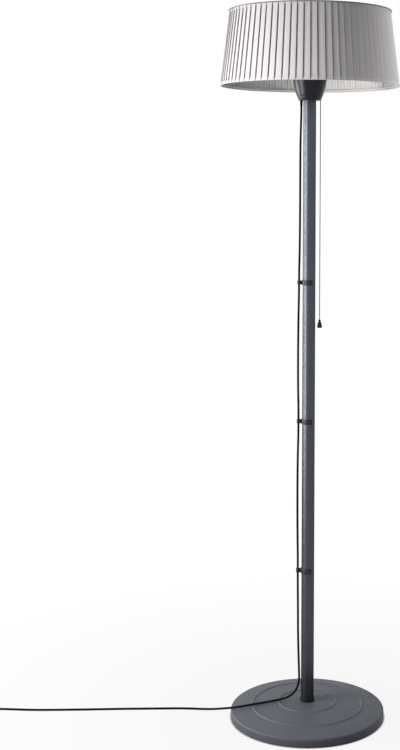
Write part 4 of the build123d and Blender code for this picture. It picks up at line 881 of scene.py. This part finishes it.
def cloth_mesh(name, levels):
    """A ring of cloth through levels of (height, points), and its width where it is widest.

    It has UVs in metres and keeps the creases at its points."""
    made = bpy.data.meshes.new(name)
    count = len(levels[0][1])
    verts = [(r * cos(a) * MM, r * sin(a) * MM, z * MM) for z, level in levels for a, r, _ in level]
    faces = []
    for low in range(0, (len(levels) - 1) * count, count):
        for k in range(count):
            after = (k + 1) % count
            faces.append((low + k, low + after, low + count + after, low + count + k))
    made.from_pydata(verts, [], faces)
    crease = made.attributes.new("crease", "FLOAT", "POINT")
    crease.data.foreach_set("value", [dark for _, level in levels for _, _, dark in level])
    longest = max((level for _, level in levels), key=lambda level: level[0][1])
    flat = [Vector((r * cos(a), r * sin(a))) for a, r, _ in longest]
    around = [0.0]
    for k in range(count):
        around.append(around[-1] + (flat[(k + 1) % count] - flat[k]).length)
    up = [0.0]
    for (z0, low), (z1, high) in zip(levels, levels[1:]):
        up.append(up[-1] + sqrt((z1 - z0) ** 2 + (high[0][1] - low[0][1]) ** 2))
    uv = made.uv_layers.new(name="cloth")
    for face in made.polygons:
        i, k = divmod(face.index, count)
        corners = ((k, i), (k + 1, i), (k + 1, i + 1), (k, i + 1))
        for loop, (u, v) in zip(face.loop_indices, corners):
            uv.data[loop].uv = (around[u] * MM, up[v] * MM)
    return made, around[-1]


def cloth_piece(name, levels, finish, nodes, thickness, sharp=60):
    made, width = cloth_mesh(name, levels)
    obj = piece(name, made, finish, nodes, sharp=sharp)
    thick = obj.modifiers.new("thickness", "SOLIDIFY")
    thick.thickness, thick.offset = thickness * MM, -1
    return obj, width


heights = [SHADE + up for up in (0.6, 4, 9)] + [SHADE + 14 + 15 * i for i in range(14)]
heights += [SHADE_TOP - down for down in (9, 4, 0.6)]
shade, cloth_width = cloth_piece("shade_pleated_cloth", [(z, pleated_level(z)) for z in heights],
                                 shade_cloth, "shade_fabric", 0.35)


def even_level(r, sides=PLEATS * 13):
    return [(2 * pi * i / sides, r, 0.0) for i in range(sides)]


def tape_levels(edge, up):
    """The tape folded over an edge: inside, across the raw edge, then outside over the pleats.

    The outside's rows are (distance from the edge, lift, flat), with two lines of stitches."""
    inside, across = fold_r(edge) - 6.05, edge - 0.1 * up
    levels = [(edge + 2.4 * up, even_level(inside)), (edge + 0.5 * up, even_level(inside)),
              (across + 0.1 * up, even_level(inside + 0.25)), (across, even_level(inside + 0.7)),
              (across, even_level(fold_r(edge) - 1.2))]
    rows = ((0.02, -0.75, 0.0), (0.3, -0.25, 0.1), (0.9, 0.1, 0.12), (1.6, 0.1, 0.15),
            (2.1, -0.2, 0.3), (2.4, -0.25, 1), (2.9, 0, 1), (3.8, 0, 1), (6.3, 0, 1),
            (6.6, -0.22, 1), (6.9, 0, 1), (8.6, 0, 1), (9.0, -0.25, 1))
    for above, lift, flat in rows:
        z = across if above < 0.1 else edge
        level = pleated_level(edge + above * up, True, lift, flat)
        levels.append((z + above * up, level))
    return levels if up > 0 else levels[::-1]


hem, _ = cloth_piece("shade_hem_tape", tape_levels(SHADE, 1), trim_cloth,
                     "shade_trim_bottom", 0.3)
top_tape, _ = cloth_piece("shade_top_tape", tape_levels(SHADE_TOP, -1), trim_cloth,
                          "shade_trim_top", 0.3)


def lining_r(z):
    return fold_r(z) - 4.8


def lining_level(z):
    """The lining's inside has a sewn crease at each half pleat."""
    level = []
    for i in range(2 * PLEATS):
        wander = shifts[i // 2] * 0.6 + (0.03 if i % 2 else -0.03)
        # The last value of each point weighs painted shade in the crease.
        for share, deep, dark in ((0.0, 0.45, 1.0), (0.05, 0.38, 0.8), (0.11, 0.0, 0.0),
                                  (0.5, -0.12, 0.0), (0.89, 0.0, 0.0), (0.95, 0.38, 0.8)):
            angle = (i + share + wander) * pleat_angle / 2
            level.append((angle, lining_r(z) - 0.8 + deep, dark))
    return level


heights = (SHADE_TOP - 0.6, SHADE + 0.6)
lining, _ = cloth_piece("shade_lining_sheet", [(z, lining_level(z)) for z in heights],
                        lining_cloth, "shade_lining", 0.3)
wire_r, ring_z, top_z = 2.0, 1879, 2092
ring_r, top_r = (lining_r(z) - 0.8 - wire_r for z in (ring_z, top_z))
pocket = [(ring_z - 2.4, even_level(ring_r + 1.7))]
for angle in range(-80, 81, 20):
    drop, out = 2.4 * sin(radians(angle)), 2.4 * cos(radians(angle))
    pocket.append((ring_z + drop, even_level(ring_r - out)))
pocket.append((ring_z + 4.4, even_level(lining_r(ring_z + 4.4) - 1.2)))
pocket, _ = cloth_piece("shade_wire_pocket", pocket[::-1], lining_cloth, "", 0.25)

frame_bottom = Form().wire(ring_path(ring_r, ring_z, 160), wire_r, 12, True)
piece("shade_ring_bottom", frame_bottom, white_paint, "shade_frame_bottom")
frame_top = Form().wire(ring_path(top_r, top_z, 160), wire_r, 12, True)
arm_low, arm_high = 2087, 2090
arm = rect(14, -8, top_r - 0.5, 8, (0, 1, 1, 0))
for place in turned(3, 0):
    frame_top.slab(arm, arm_low, arm_high, 0.4, place)
frame_top.lathe(rect(4.1, arm_low, 22, arm_high, (0.2, 0.5, 0.5, 0.2)), 64)
piece("shade_ring_top", frame_top, white_paint, "shade_frame_top")
struts = Form()
low_r, high_r = lining_r(ring_z + 2) - 3.6, lining_r(top_z - 2) - 3.6
for place in turned(6, 0, 30):
    struts.wire([(low_r, 0, ring_z + 1), (high_r, 0, top_z - 1)], 1.9, 12, matrix=place)
piece("shade_struts_wire", struts, white_paint, "shade_struts")

# ---------- top cap
cap_hole, cap_r, cap_z, raised_z = 4.1, 242.156, 2097.3, 2104.3
washer_z, nut_z = raised_z + 1, 2106.9
cap_line = rounded([
    (cap_hole, raised_z, 0), (150, raised_z, 5), (157, cap_z, 5), (cap_r, cap_z, 0.3),
    (cap_r, cap_z - 2, 0.2), (cap_r + 1, cap_z - 2, 0.4), (cap_r + 1, cap_z + 1, 1.2),
    (157.4, cap_z + 1, 5), (150.4, washer_z, 5), (cap_hole, washer_z, 0)], 6)
spun("top_cap_pressed", cap_line, 256, cap_paint, "top_cap")
nut = Form().lathe(rect(cap_hole, washer_z, 12, nut_z, (0.1, 0.3, 0.4, 0.1)), 48)
nut.slab(hexagon(13), nut_z, nut_z + 6.5, 0.5)
dome = ((0, 6.3), (6.2, 6.3), (6.0, 7.7), (5.2, 9.6), (3.6, 11.3), (1.8, 12.2), (0, 12.5))
nut.lathe([(r, nut_z + up) for r, up in dome], 48)
piece("cap_nut_domed", nut, zinc, "cap_washer_nut")

# ---------- solids that keep their own mesh
kept = {
    "base_ballast": concrete,
    "pole_foot_insert": casting,
    "power_cord_inside": rubber,
    "set_screws": zinc,
    "terminal_block": ceramic,
    "switch_rotor": nylon,
    "switch_contacts": brass,
    "tilt_switch switch_case switch_lid": grey_plastic,
    "head_post cup_chassis switch_pin switch_spring hub_flange post_plug cap_spacer": steel,
}
for nodes, finish in kept.items():
    for node in nodes.split():
        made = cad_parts[node]
        if not made.material_slots:
            made.data.materials.append(finish)
        for place in made.material_slots:
            place.material = finish

# ---------- floor, background and light
def plain_rays(tree):
    """1 for what the camera sees straight, in a reflection or through glass, and 0 for light."""
    rays = add_node(tree, "LightPath", {}).outputs
    total = rays["Is Camera Ray"]
    for kind in ("Is Glossy Ray", "Is Transmission Ray"):
        total = add_node(tree, "Math", {0: total, 1: rays[kind]}, operation="MAXIMUM").outputs[0]
    return total


def mix_out(tree, share, first, second, output):
    """Sends a mix of two shaders to the tree's output."""
    mix = add_node(tree, "MixShader", {0: share, 1: first.outputs[0], 2: second.outputs[0]})
    end = next(n for n in tree.nodes if n.type == output)
    tree.links.new(mix.outputs[0], end.inputs["Surface"])


floor = add_object("floor", Form().slab(centred(0, 0, 18000, 18000), -20, -0.02, 1).mesh("floor"))
floor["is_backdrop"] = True
ground = Finish("pale_floor", (0.46, 0.46, 0.46), 0.9, Specular_IOR_Level=0.1)
white = ground.node("Emission", {})
from_pole = ground.node("VectorMath", {0: ground.coords["Object"]}, operation="LENGTH")
from_pole = from_pole.outputs["Value"]
near = ground.spread(from_pole, 0.0, 0.9, 0.2265, 0.2325)
far = ground.spread(from_pole, 0.0, 0.1, 0.3, 1.4)
paleness = ground.math("MULTIPLY", plain_rays(ground.tree), ground.math("ADD", near, far))
mix_out(ground.tree, paleness, ground.shader, white, "OUTPUT_MATERIAL")
floor.data.materials.append(ground.material)

world = bpy.data.worlds.new("studio")
scene.world = world
world.use_nodes = True
tree = world.node_tree
glow = next(n for n in tree.nodes if n.type == "BACKGROUND")
glow.inputs["Color"].default_value = (0.345, 0.345, 0.35, 1)
plain = add_node(tree, "Background", {"Color": (1, 1, 1, 1)})
mix_out(tree, plain_rays(tree), glow, plain, "OUTPUT_WORLD")


def soft_light(name, at, target, size, watts, color):
    data = bpy.data.lights.new(name, "AREA")
    data.shape = "RECTANGLE"
    data.size, data.size_y = size
    data.energy = watts
    data.color = color
    obj = add_object(name, data)
    obj.location = at
    obj.rotation_euler = (Vector(target) - Vector(at)).to_track_quat("-Z", "Y").to_euler()
    return obj


soft_light("key", (-2.74, -1.22, 1.35), (0, 0, 1.5), (1.35, 2.6), 118, (1.0, 0.99, 0.98))
left_back = soft_light("left_back", (-2.66, 0.90, 1.6), (0, 0, 1.5), (0.9, 2.4), 92,
                       (0.94, 0.97, 1.0))
left_back.visible_diffuse = False
right_fill = soft_light("right_fill", (2.38, 1.27, 2.5), (0, 0, 5.0), (2.0, 1.6), 98,
                        (0.97, 0.98, 1.0))
right_fill.visible_glossy = False

scene.view_settings.view_transform = "Standard"
low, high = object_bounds()
